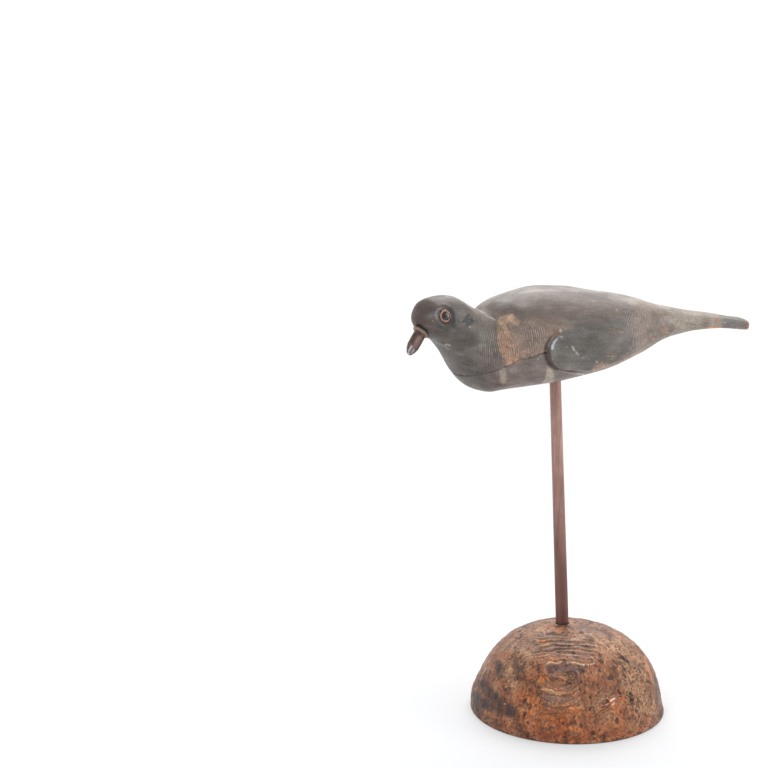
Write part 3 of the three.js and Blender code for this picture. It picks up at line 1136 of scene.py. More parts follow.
@dataclass(frozen=True)
class BurlWood(Finish):
    """Waxed burl: its figure is on the mesh, with fibres that follow it and small pits."""

    pale_fibre: Colour = srgb(200, 138, 90)
    pale_fleck: Colour = srgb(196, 150, 112)
    dark_fibre: Colour = srgb(52, 28, 20)
    dark_fleck: Colour = srgb(52, 30, 22)
    pit: Colour = srgb(34, 22, 20)
    grime: Colour = srgb(32, 22, 18)
    roughness: float = 0.46
    gamma: float = 1.3
    depth: Row = (1.52, 1.92, 2.4)

    def build(self, graph: Graph, place: Socket) -> Socket:
        """Builds the shader."""
        aged = Handling.use(graph, Colour=graph.tone(), Vector=place, Strength=0.75)
        warped = graph.node("ShaderNodeTexNoise", {"Vector": place, "Scale": 60, "Detail": 2}).outputs["Color"]
        outward = graph.vector("NORMALIZE", graph.vector("MULTIPLY", place, (1, 1, 0)))
        climbing = graph.added(graph.scaled(outward, 50), graph.scaled(place, 48), graph.scaled(warped, 7))
        upright = graph.noise(climbing, 1, 5, 0.66, 0.5)
        shifted = graph.alike(graph.times(graph.mask("lying"), 0.42))
        lying = graph.noise(graph.added(shifted, graph.scaled(place, 80)), 1, 5, 0.66, 0.3)
        fibres = graph.plus(upright, graph.times(graph.minus(lying, upright), graph.mask("level")))
        dark = graph.range(fibres, 0.46, 0.36)
        flecks = graph.noise(graph.added(place, graph.scaled(warped, 0.01)), 360, 3, 0.7)
        figured = graph.minus(1, graph.times(graph.mask("calm"), 0.8))
        crusty = graph.times(graph.mask("pitted"), figured)
        some = graph.times(graph.plus(graph.times(crusty, 0.7), 0.3), figured)
        colour = aged["Colour"]
        for tone, shows, within, share in (
            (self.pale_fibre, graph.range(fibres, 0.53, 0.64), figured, 0.42),
            (self.pale_fleck, graph.range(flecks, 0.55, 0.66), crusty, 0.55),
            (self.dark_fibre, dark, figured, 0.8),
            (self.dark_fleck, graph.range(flecks, 0.45, 0.35), some, 0.7),
        ):
            colour = graph.mix(graph.times(shows, graph.times(within, share)), colour, tone)
        curled = graph.added(place, graph.scaled(warped, 0.02))
        cells = graph.node("ShaderNodeTexVoronoi", {"Vector": curled, "Scale": 330}).outputs["Distance"]
        pits = graph.times(graph.range(cells, 0.34, 0.14), graph.mask("pitted"))
        colour = graph.mix(graph.times(pits, 0.75), colour, self.pit)
        deep = graph.node("ShaderNodeGamma", {"Color": colour, "Gamma": self.gamma}).outputs[0]
        colour = graph.mix(1, deep, self.depth, "MULTIPLY")
        dusted_and_lit = DustAndTopLight.use(graph, Colour=colour, Vector=place, Amount=0.04)
        # Painted shade about the rod's foot.
        colour = graph.mix(graph.mask("grime"), dusted_and_lit["Colour"], self.grime)
        rough = graph.minus(self.roughness, graph.times(graph.mask("gloss"), 0.26))
        rough = graph.plus(rough, graph.times(dark, 0.15))
        normal = graph.bump(fibres, 0.0022, 0.8)
        normal = graph.bump(graph.minus(1, pits), 0.0012, 0.8, normal)
        return graph.principled(colour, rough, 1.46, normal)


@dataclass(frozen=True)
class StainedWood(Finish):
    """Reddish brown stain on straight-grained wood, paler towards the bird."""

    low: Colour = srgb(106, 68, 57)
    high: Colour = srgb(158, 121, 110)
    grime: Colour = srgb(34, 24, 20)
    turns_pale: tuple[float, float] = (0.11, 0.27)

    def build(self, graph: Graph, place: Socket) -> Socket:
        """Builds the shader."""
        upright = graph.stretched(place, (1, 1, 1), (0, math.pi / 2, 0))
        grain = WoodGrain.use(graph, Vector=upright, Pitch=0.0022, Length=22)["Streaks"]
        colour = graph.mix(graph.range(graph.axes(place)[2], *self.turns_pale), self.low, self.high)
        aged = Handling.use(graph, Colour=colour, Vector=place, Strength=0.4)
        colour = graph.mix(0.5, aged["Colour"], graph.greys(grain, 0.3, 0.8), "OVERLAY")
        # Painted shade where the rod meets the base and the belly.
        colour = graph.mix(graph.mask("grime"), colour, self.grime)
        return graph.principled(colour, 0.5, 1.48, graph.bump(grain, 0.0004, 0.5))


@dataclass(frozen=True)
class VarnishedWood(Finish):
    """Dark gloss varnish whose tones are on the mesh."""

    roughness: float = 0.24

    def build(self, graph: Graph, place: Socket) -> Socket:
        """Builds the shader."""
        aged = Handling.use(graph, Colour=graph.tone(), Vector=place, Strength=0.45)
        rough = graph.range(aged["Height"], 0.35, 0.65, self.roughness, self.roughness + 0.2)
        return graph.principled(aged["Colour"], rough, 1.5, graph.bump(aged["Height"], 0.0006, 0.4))


@dataclass(frozen=True)
class ClearGlass(Finish):
    """Clear glass, faintly scratched."""

    tint: Colour = (0.98, 0.96, 0.93)

    def build(self, graph: Graph, place: Socket) -> Socket:
        """Builds the shader."""
        scratches = graph.noise(graph.stretched(place, (1, 1, 0.2)), 2600, 2)
        rough = graph.range(scratches, 0.4, 0.8, 0.17, 0.22)
        return graph.principled(self.tint, rough, 1.48, more={"Transmission Weight": 1})


@dataclass(frozen=True)
class PaintedIris(Finish):
    """The painted back of a glass eye: rings by distance from its middle."""

    pupil: Colour = srgb(34, 20, 18)
    ring: Colour = srgb(216, 164, 130)
    rim: Colour = srgb(120, 84, 64)
    speck: Colour = srgb(96, 50, 38)

    def build(self, graph: Graph, place: Socket) -> Socket:
        """Builds the shader."""
        uneven = graph.times(graph.minus(graph.noise(place, 500, 2), 0.5), 0.12)
        rings = [(0, self.pupil), (0.71, self.pupil), (0.78, self.ring), (0.92, self.ring), (0.97, self.rim)]
        colour = graph.ramp(graph.plus(graph.mask("from_middle"), uneven), rings)
        speckled = graph.range(graph.noise(place, 1500, 3), 0.5, 0.8, 0, 0.35)
        return graph.principled(graph.mix(speckled, colour, self.speck), 0.4, 1.45)


@dataclass(frozen=True)
class PlainPaper(Finish):
    """The pale table."""

    colour: Colour = srgb(189, 190, 192)
    cloud: Colour = srgb(184, 186, 189)
    glow: float = 0.345

    def build(self, graph: Graph, place: Socket) -> Socket:
        """Builds the shader."""
        cloudy = graph.range(graph.noise(place, 3, 2), 0.2, 0.8, 0, 0.04)
        glow = {"Emission Color": (1, 1, 1), "Emission Strength": self.glow}
        return graph.principled(graph.mix(cloudy, self.colour, self.cloud), 0.85, more=glow)


@dataclass(frozen=True)
class LitBackdrop(Finish):
    """A white backdrop that is lit from behind."""

    strength: float = 1.0

    def build(self, graph: Graph, place: Socket) -> Socket:
        """Builds the shader."""
        cloudy = graph.range(graph.noise(place, 1, 1), 0, 1, self.strength * 0.995, self.strength)
        return graph.node("ShaderNodeEmission", {"Color": (1, 1, 1), "Strength": cloudy}).outputs[0]


# The bird


class Side(Enum):
    """A side of the bird."""

    LEFT = -1
    RIGHT = 1


class Half(Enum):
    """One of the two glued blocks, by the side of the joint that it lies on."""

    UPPER = 1
    LOWER = -1


class Tones:
    """Colours of the bird's worn paint, and of its painted highlights and painted shade, by name."""

    head = srgb(85, 77, 71)
    breast = srgb(109, 94, 88)
    body = srgb(112, 102, 95)
    belly = srgb(117, 104, 98)
    wing = srgb(88, 85, 80)
    back = srgb(103, 92, 85)
    warm = srgb(132, 111, 100)
    tan = srgb(170, 134, 108)
    olive = srgb(97, 98, 88)
    straw = srgb(214, 176, 142)
    rump = srgb(132, 115, 105)
    tail = srgb(141, 131, 119)
    slate = srgb(108, 104, 100)
    cream = srgb(204, 190, 170)
    rust = srgb(184, 112, 72)
    ink = srgb(34, 32, 33)
    blue_black = srgb(44, 48, 54)
    # Colours of painted highlights.
    grey_blue_highlight = srgb(132, 138, 142)
    glint = srgb(226, 232, 235)
    # Dark brown: marks on the rump, and painted shade in the wing's groove.
    dirt_and_shade = srgb(70, 58, 48)
    forehead = srgb(68, 50, 43)
    sheen = srgb(184, 174, 168)
    umber = srgb(98, 74, 60)
    moss = srgb(112, 112, 98)


@dataclass
class BirdMarks:
    """Small marks on the side that the photograph shows, in its pixels, among them painted highlights and painted
    shade.
    """

    cream: Strokes = lines(
        (1.1, 0.6, 572.6, 347, 574.2, 350), (0.8, 0.5, 576, 352, 578.2, 354.6), (0.8, 0.35, 567, 347),
        (0.7, 0.4, 583, 358), (1.1, 0.6, 597, 362), (1, 0.6, 538, 359), (1.5, 0.8, 560.5, 331),
        (0.9, 0.8, 446, 344.5), (0.7, 0.6, 446, 344.5, 450, 345.3), (0.9, 0.5, 470, 327), (0.6, 0.4, 432.5, 321),
        (0.8, 0.6, 697.5, 324), (0.8, 0.6, 725, 322.5), (0.6, 0.4, 602, 363), (0.8, 0.6, 617, 310),
        (0.6, 0.3, 701, 322.5), (0.6, 0.3, 597, 352), (0.7, 0.7, 527, 358.8), (0.5, 0.5, 523, 356.2),
        (0.6, 0.5, 535, 357), (0.5, 0.5, 530, 352.5), (0.5, 0.4, 538, 352), (0.6, 0.45, 541, 356.4),
        (0.5, 0.4, 524.5, 351), (0.5, 0.5, 532.5, 354.8),
    )
    worn: Strokes = lines(
        (0.6, 0.35, 608, 353, 616, 353.6), (0.6, 0.4, 608, 356, 616, 356.6), (0.6, 0.4, 608, 359, 616, 359.6),
        (0.6, 0.3, 609, 329, 617, 329.6), (0.6, 0.35, 608, 332, 620, 332), (1, 0.5, 662, 329), (1.2, 0.5, 667, 333),
        (0.9, 0.5, 664, 336), (2, 0.6, 594, 370, 600, 367.5, 607, 366), (1.2, 0.5, 596, 366, 602, 363.5),
        (1.3, 0.5, 607, 366.6, 620, 362, 634, 355), (1, 0.45, 634, 355, 650, 345), (2.4, 0.3, 613, 357),
        (3, 0.25, 650, 322), (0.8, 0.6, 523, 356.5, 526, 355.5), (0.9, 0.7, 531, 354.6, 536, 353),
        (1, 0.5, 534, 359), (0.9, 0.4, 527.5, 361.5), (0.8, 0.5, 541, 351.5, 546, 350.2),
        (2.2, 0.35, 522, 352.5, 531, 350.5), (1, 0.3, 520, 322, 533, 323), (0.9, 0.3, 477, 303, 488, 311, 500, 316),
    )
    rust: Strokes = lines(
        (0.7, 0.5, 645, 335, 650, 337, 656, 340), (1.2, 0.55, 622, 332), (1.5, 0.85, 717.5, 320),
        (0.8, 0.8, 708, 327.3, 722, 327.2), (0.9, 0.6, 664, 326), (1.4, 0.55, 665, 332), (1.2, 0.5, 552.5, 359.3),
        (0.9, 0.65, 561.5, 329.5, 558.5, 331, 555, 334, 552, 338), (0.8, 0.4, 604, 371, 620, 366, 636, 357),
        (1, 0.5, 598, 369), (1, 0.5, 716, 316), (0.9, 0.8, 746, 321, 748.5, 325, 747, 328.5),
        (0.8, 0.7, 735, 329, 746, 329), (1, 0.3, 665, 326, 668, 333), (0.8, 0.4, 661, 312),
        (0.8, 0.3, 500, 343, 512, 360),
    )
    ink: Strokes = lines(
        (1.1, 1, 463, 321.5, 467, 319, 472, 319.5), (1, 1, 465, 318.3, 468.8, 315),
        (1.2, 1, 464.5, 321, 469, 323, 473, 321), (1, 1, 466.5, 325.4, 471.5, 323.6), (1.7, 0.9, 467.5, 320.4),
    )
    blue_black: Strokes = lines(
        (2.4, 0.9, 450.5, 310, 453, 316, 453, 323), (2.6, 0.8, 454, 326), (1.8, 0.8, 452, 308),
        (2.2, 0.4, 459, 321), (2.5, 0.4, 457, 329), (1.2, 0.5, 437, 322, 440, 327, 447, 330),
        (1.4, 0.3, 470, 333, 474, 341), (2.4, 0.25, 486, 330, 490, 345),
    )
    # Painted highlights about the eye and along the jaw's ridge.
    grey_blue_highlight: Strokes = lines(
        (1.3, 0.42, 436.8, 318, 435.6, 314, 437.6, 309.8, 441, 308.2), (1, 0.3, 461, 320), (1.2, 0.35, 474, 319),
        (0.8, 0.4, 436, 342, 443, 345, 448, 349),
    )
    # Painted highlights on the wing's bead and along its lower edge.
    glint: Strokes = lines(
        (1.2, 0.8, 552.3, 348.4, 552.9, 345.2), (1, 0.7, 552.9, 345.2, 554.4, 341.8, 556.4, 339.5),
        (0.7, 0.4, 556.4, 339.5, 558, 338.2), (0.5, 0.3, 560, 337, 562, 336.4),
        (0.5, 0.35, 558, 370.6, 568, 372.6, 584, 374.6),
    )
    joint: Strokes = lines(
        (0.42, 0.75, 453.2, 373.3, 457, 375.2, 462.7, 376, 470, 376, 476.2, 375.3, 489.8, 372.6),
        (0.45, 0.75, 489.8, 372.6, 499.3, 369, 510.1, 365.5, 516, 362, 520.9, 358.8),
        (0.4, 0.7, 520.9, 358.8, 526, 359.3, 530.4, 357.4, 534, 357.6, 538.5, 354.4),
        (0.42, 0.85, 538.5, 354.4, 543, 353.8, 548, 353),
    )
    smear: Strokes = lines(
        (3.4, 0.32, 502.5, 370.5, 503.5, 376, 503.5, 381), (2.4, 0.14, 511, 371, 515, 369),
    )
    # Painted light: a broad paler patch on the mantle and a thin highlight along the neck's ridge.
    soft_sheen: Strokes = lines(
        (8, 0.16, 502, 301, 514, 299, 532, 297), (7, 0.08, 532, 297, 560, 296),
        (0.6, 0.5, 473, 306.6, 480.7, 311.2, 487.9, 316.8, 495, 319.6),
    )
    # Painted shade in the groove before the wing's bead.
    groove_shade: Strokes = lines(
        (3, 0.85, 547.4, 350, 548.2, 357, 550.7, 363.5), (1.8, 0.7, 550.7, 363.5, 557, 368.6),
        (0.9, 0.45, 557, 368.6, 566, 371.2, 576, 372.8),
    )
    # Painted highlights along the top of the back, the rump and the nape, laid on both sides.
    sheen: Strokes = lines(
        (3, 0.45, 484, 303, 494, 296, 508, 292, 530, 289, 560, 289), (2.2, 0.5, 560, 289, 590, 290, 612, 292),
        (4.2, 0.5, 612, 295, 634, 300), (2, 0.5, 634, 299, 655, 305, 668, 309),
        (1.2, 0.45, 446, 295.8, 454, 297.2, 460, 300, 467, 304.2, 473, 307),
    )
    straw: Strokes = lines(
        (3.8, 0.85, 502, 321, 511, 318), (2.4, 0.7, 503, 324, 507, 333), (3.4, 0.5, 516, 322),
    )
    jaw: Strokes = lines((1.5, 1, 437, 343, 446, 345, 452, 349))


@dataclass
class Bird:
    """The carved bird: two glued blocks, with the sockets for eyes, bill and rod.

    The wing's edge and the eyes' rims are rows of rise, middle and width; the neck's patch is rows of height and
    the places of its front and rear edge.
    """

    form: Form
    place: Array
    view: Viewpoint
    eye: EyeSizes = EyeSizes()
    grid: SkinGrid = SkinGrid()
    small_marks: BirdMarks = field(default_factory=BirdMarks)
    wing_edge: tuple[Row, ...] = ((-0.85, -0.2, 1.2), (1.1, 3.6, 1.7), (-0.5, 9.0, 3.5))
    eye_rim: tuple[Row, ...] = ((-0.9, 7.6, 1.3), (0.35, 10.6, 1.6))
    neck_patch: tuple[Row, ...] = (
        (13.0, 29.7, 31.0), (31.0, 27.0, 38.8), (45.0, 20.8, 37.4), (58.0, 21.8, 34.0), (71.0, 24.0, 32.0),
    )

    def eye_seat(self, side: Side) -> tuple[Array, Array]:
        """Where an eye is set.

        Args:
            side: Which eye.

        Returns:
            The point on the surface and the way that the eye looks, in the bird's frame.
        """
        head = self.form.head
        origin = head.place(self.eye.along_head, 0.0, self.form.crown() - self.eye.below_crown)
        outward = side.value * np.array([-math.sin(head.turn), math.cos(head.turn), 0.0])
        seat = self.form.surface(origin[None], outward[None])[0]
        steps = np.eye(3)
        normal = self.form.distance(seat + steps) - self.form.distance(seat - steps)
        return seat, normal / np.linalg.norm(normal)

    def relief(self, points: Array, normals: Array) -> Array:
        """How far the finer carving and the wear stand out from the form.

        Args:
            points: Points of the skin in the bird's frame.
            normals: Their normals.

        Returns:
            The height at each.
        """
        form, small = self.form, self.small_marks
        x, z = points[:, 0], points[:, 2]
        sight = self.view.sight(points + self.place, normals)
        depth = form.wing_depth(x, z)
        near_front = form.wing_fade(x) * np.where(z > form.wing.bend_z, smooth(82, 68, x), smooth(122, 84, x))
        height = -0.22 + 0.14 * Ripples(11, 34)(points) + 0.035 * Ripples(12, 9, (1.6, 1, 1))(points)
        for rise, middle, width in self.wing_edge:
            height += rise * near_front * bump_at(depth, middle, width)
        ragged = 0.5 + 0.5 * np.clip(Ripples(13, 6)(points), -1, 1)
        hidden = bump_at(form.from_joint(points), 0, 0.75) * smooth(64, 57, x) * (1 - sight.seen)
        height -= (0.45 + 0.55 * ragged) * np.maximum(hidden, sight.marks(small.joint))
        height -= 0.8 * sight.marks(small.ink) * smooth(20, 40, x) + 0.25 * sight.marks(small.cream)
        for side in Side:
            away = np.linalg.norm(points - self.eye_seat(side)[0], axis=1)
            for rise, middle, width in self.eye_rim:
                height += rise * bump_at(away, middle, width)
        return height + 0.5 * sight.marks(small.jaw)

    def carve(self, half: Half, cutters: Sequence[tuple[Object, Cut]]) -> Object:
        """Makes one block.

        Args:
            half: Which side of the joint.
            cutters: Pieces whose sockets are cut.

        Returns:
            The block, carved and cut.
        """
        skin = self.form.skin(self.grid)
        points, normals = skin.points(), skin.normals((-1.0, 0.0, 0.0), (1.0, 0.0, 0.0))
        points = points + normals * self.relief(points, normals)[:, None] + self.place
        block = to_object(f"{half.name.lower()}_block_painted", (points, skin.faces()))
        cut(block, [(self.joint_block(half), Cut.KEEP), *cutters])
        return block

    def joint_block(self, half: Half) -> Object:
        """A large box with one face on the glued joint."""
        length, joint = self.form.bird.length, self.form.joint
        cos, sin = math.cos(joint.rise), math.sin(joint.rise)
        along, up, side = np.array([[cos, 0.0, sin], [-sin, 0.0, cos], [0.0, 1.0, 0.0]])
        middle = self.place + np.array([0.0, 0.0, joint.height]) + along * length / 2
        levels = sorted(half.value * (joint.half_gap + far) for far in (0.0, 2 * length))
        corners = [
            middle + level * up + 2 * length * (a * along + b * side)
            for level in levels for a, b in ((-1, -1), (1, -1), (1, 1), (-1, 1))
        ]
        faces = [(3, 2, 1, 0), (4, 5, 6, 7), (0, 1, 5, 4), (1, 2, 6, 5), (2, 3, 7, 6), (3, 0, 4, 7)]
        return to_object(f"{half.name.lower()}_side", (np.array(corners), faces))

    def paint(self, block: Object) -> None:
        """Writes the tones and masks of the worn paint on a block."""
        world, normals = points_of(block), normals_of(block)
        points, sight = world - self.place, self.view.sight(world, normals)
        x, y, z = points.T
        form, tones, small, marks = self.form, Tones, self.small_marks, sight.marks
        blotch = Ripples(21, 13, (1.8, 1, 1))(points)
        speck, fine = Ripples(22, 3.2)(points), Ripples(23, 1.7)(points)
        above, depth, fade = form.from_joint(points), form.wing_depth(x, z), form.wing_fade(x)
        canvas = Canvas(len(points), tones.body)
        lay = canvas.lay

        # Zones of the old paint
        lay(tones.belly, smooth(1, -3, above))
        lay(tones.back, smooth(0.15, 0.6, normals[:, 2]) * smooth(30, 60, x))
        wing = smooth(0, 3, depth) * smooth(165, 120, x + 6 * blotch) * smooth(76, 60, z)
        lay(tones.wing, 0.8 * wing)
        rows = np.array(self.neck_patch).T
        front_edge, rear_edge = np.interp(z, rows[0], rows[1]), np.interp(z, rows[0], rows[2])
        lay(tones.breast, smooth(2.5, -2, x - front_edge + 0.7 * speck))
        lay(tones.back, smooth(56, 72, z + 0.35 * x) * smooth(4, 14, x + 0.4 * y + 6) * smooth(64, 44, x))
        lay(tones.olive, 0.65 * bump_at(x, 7, 17) * bump_at(z, 56, 17))
        lay(tones.head, smooth(20, -2, x + 0.25 * z - 10 + 2.5 * blotch))
        lay(tones.forehead, 0.8 * smooth(-38, -53, x + 1.5 * blotch))
        lay(tones.forehead, 0.6 * smooth(78, 91, z) * smooth(-5, -30, x))
        behind = smooth(0, 3, x - front_edge) * smooth(1, -3, depth) * smooth(-1, 1, above)
        lay(tones.warm, 0.8 * behind * smooth(80, 66, z + 2 * blotch) * smooth(84, 62, x))

        # The patch of bare wood behind the neck
        patch = smooth(-0.8, 0.8, x - front_edge + 0.5 * speck) * smooth(3, -3, x - rear_edge + 1.6 * speck)
        bare = patch * smooth(-0.6, 0.6, above) * smooth(67, 59, z + 1.5 * speck)
        lay(tones.tan, bare * (0.78 + 0.06 * fine))
        streaks = Ripples(26, 1.9, (1, 1, 7))(points)
        lay(tones.straw, 0.45 * bare * smooth(0.2, 1.3, streaks) * smooth(44, 66, z))
        lay(tones.rust, 0.38 * bare * smooth(0.2, 1.3, streaks) * smooth(64, 50, z))
        lay(tones.umber, 0.5 * bare * smooth(0.3, 1.2, -streaks))
        below = 0.28 * patch * smooth(0, -0.8, above) * (1 - sight.seen) * smooth(-1, 0.8, speck)
        lay(tones.cream, below + marks(small.smear) * (0.85 + 0.1 * speck))
        lay(tones.straw, marks(small.straw) * (0.8 + 0.2 * fine))

        # Rump and tail
        lay(tones.rump, 0.75 * band(x + 4 * blotch, 148, 160, 182, 196))
        tail = smooth(184, 198, x + 4 * blotch)
        lay(tones.tail, tail)
        streaks, hairs = Ripples(24, 1.8, (15, 1, 1))(points), Ripples(28, 1.2, (14, 1, 1))(points)
        lay(tones.moss, 0.5 * tail * smooth(0, 1.3, streaks + 0.2 * speck))
        lay(tones.tan, 0.3 * tail * smooth(0.4, 1.4, -streaks))
        lay(tones.wing, 0.4 * tail * smooth(0.8, 1.7, hairs))
        lay(tones.cream, 0.25 * tail * smooth(0.9, 1.8, -hairs))
        lay(tones.slate, smooth(252, 258, x))
        lay(tones.dirt_and_shade, 0.55 * band(x, 180, 186, 192, 200) * smooth(0.5, 1.4, speck))
        lay(tones.dirt_and_shade, 0.4 * bump_at(x, 176, 6) * bump_at(z, 66, 6))

        # Wear below the wing and along its edge, painted shade in the groove before its bead and a painted
        # highlight on the bead
        triangle = smooth(-1, 3, x - 64 - 0.12 * (30 - z)) * smooth(4, -1, x - 66 - 0.6 * (30 - z))
        triangle = triangle * smooth(-1, -3, depth) * smooth(0, -1, above) * smooth(2, 7, z)
        speckled = smooth(-0.7, 0.7, speck + 0.5 * fine)
        lay(tones.cream, 0.6 * triangle * (0.55 + 0.45 * speckled) * smooth(0, 4, np.abs(y)))
        along_edge = fade * np.where(z > form.wing.bend_z, smooth(80, 70, x), smooth(125, 84, x))
        # Painted shade in the groove before the wing's bead.
        lay(tones.umber, 0.55 * bump_at(depth, -0.6, 1.4) * along_edge)
        lay(tones.tan, 0.6 * bump_at(depth, 1.4, 1.2) * band(x, 88, 108, 150, 176) * smooth(-0.8, 0.8, speck))
        # A painted highlight on the wing's bead.
        bead = bump_at(depth, 3.4, 1.6) * smooth(82, 70, x) * smooth(62, 56, z)
        lay(tones.grey_blue_highlight, 0.25 * bead * smooth(30, 44, z))

        # Marks by the photograph: worn paint, chips and rust, with painted highlights on the bead, about the eye,
        # on the mantle and along the back, and painted shade in the wing's groove
        lay(tones.glint, marks(small.glint))
        lay(tones.slate, 0.35 * smooth(0.6, 1.6, blotch))
        lay(tones.blue_black, 0.8 * marks(small.blue_black))
        lay(tones.grey_blue_highlight, marks(small.grey_blue_highlight))
        lay(tones.sheen, marks(small.soft_sheen))
        lay(tones.dirt_and_shade, marks(small.groove_shade))
        streaked = 0.62 + 0.1 * blotch + 0.12 * Ripples(27, 4, (9, 1, 1))(points)
        lay(tones.sheen, sight.drawn(small.sheen) * streaked)
        lay(tones.tan, marks(small.worn) * (0.85 + 0.3 * fine))
        lay(tones.rust, marks(small.rust) * (0.75 + 0.2 * fine))
        lay(tones.cream, 0.85 * marks(small.cream))
        lay(tones.ink, 0.92 * marks(small.ink))
        lay(tones.cream, 0.3 * smooth(1.7, 2.3, speck) * smooth(0.4, 1.2, fine) * smooth(70, 120, x))
        canvas.write(block, 1 + 0.07 * blotch + 0.06 * fine + 0.05 * Ripples(25, 5, (2.5, 1, 1))(points))

        # Masks
        on_neck = band(x, -8, 8, 60, 84) * smooth(74, 62, z) * smooth(1, 6, above) * smooth(0, -2, depth)
        strong = 0.22 + 0.8 * bump_at(x, 53, 8) * bump_at(z, 56, 12) + 0.5 * bump_at(x, 15, 8) * bump_at(z, 54, 14)
        on_neck = on_neck * (strong + 0.25 * patch * smooth(66, 58, z))
        on_rump = 0.7 * band(x, 138, 146, 166, 184) * smooth(78, 68, z)
        # The joint is dark; the sockets' walls and the wing's groove get painted shade.
        joint = np.maximum(bump_at(above, 0, 0.55) * smooth(62, 55, x) * (1 - sight.seen), marks(small.joint))
        groove = bump_at(depth, -0.4, 1) * along_edge * smooth(110, 80, x)
        sockets = smooth(0.75, 1.6, -form.distance(points))
        set_masks(
            block, comb=unit(on_neck + on_rump), grime=unit(0.72 * joint + sockets + 0.2 * groove),
            gloss=unit(0.7 * bead + 0.35 * wing + 0.12 * smooth(60, 20, x)),
        )


@dataclass
class Eye:
    """A glass eye: a clear bead with a painted dome sealed in it, set in a socket."""

    side: Side
    sizes: EyeSizes
    seat: Array
    normal: Array
    place: Array
    rings: int = 14
    sides: int = 48
    cover: float = 0.45
    flat_back: float = -0.4

    def middle(self) -> Array:
        """The bead's middle."""
        return self.place + self.seat + self.normal * (self.sizes.proud - self.sizes.thickness / 2)

    def _turned(self, radius: Array, height: Array) -> Shape:
        """Turns a profile about the eye's axis.

        Args:
            radius: Distances from the axis, 0 at both ends.
            height: Heights along it, from the lowest.

        Returns:
            The closed shape in its place.
        """
        upright = Vector((0.0, 0.0, 1.0)).rotation_difference(Vector(self.normal)).to_matrix()
        turn = math.tau * np.arange(self.sides) / self.sides
        wide, level = radius[1:-1, None], height[1:-1, None] + 0 * turn
        rings = np.stack([wide * np.cos(turn), wide * np.sin(turn), level], axis=-1)
        skin = Skin(np.array([0.0, 0.0, height[0]]), rings, np.array([0.0, 0.0, height[-1]]))
        return skin.points() @ np.array(upright).T + self.middle(), skin.faces()

    def _bead(self, extra: float) -> Shape:
        """The closed bead, larger by extra."""
        angle = np.linspace(-math.pi / 2, math.pi / 2, 2 * self.rings)
        half = self.sizes.thickness / 2 + extra
        return self._turned((self.sizes.radius + extra) * np.cos(angle), half * np.sin(angle))

    def socket(self) -> Object:
        """The closed bead that cuts this eye's socket."""
        return to_object(f"{self.side.name.lower()}_socket", self._bead(SOCKET_PLAY))

    def build(self, glass: Material, iris: Material) -> None:
        """Makes the glass bead, and the painted dome that is sealed in it."""
        side = self.side.name.lower()
        hand_over(to_object(f"{side}_eye_glass", self._bead(0.0)), glass, "eye_glass", f"{side}_eye")
        radius, half = self.sizes.radius - self.cover, self.sizes.thickness / 2 - self.cover
        angle, back = np.linspace(0, math.pi / 2, self.rings), np.linspace(0, 1, 7)
        points, faces = self._turned(
            radius * np.concatenate([back, np.cos(angle)]),
            np.concatenate([np.full(len(back), self.flat_back), half * np.sin(angle)]),
        )
        painted = to_object(f"{side}_eye_iris", (points, faces))
        away = points - self.middle()
        flat = away - np.outer(away @ self.normal, self.normal)
        set_masks(painted, from_middle=np.linalg.norm(flat, axis=1) / radius)
        hand_over(painted, iris, "eye_glass")


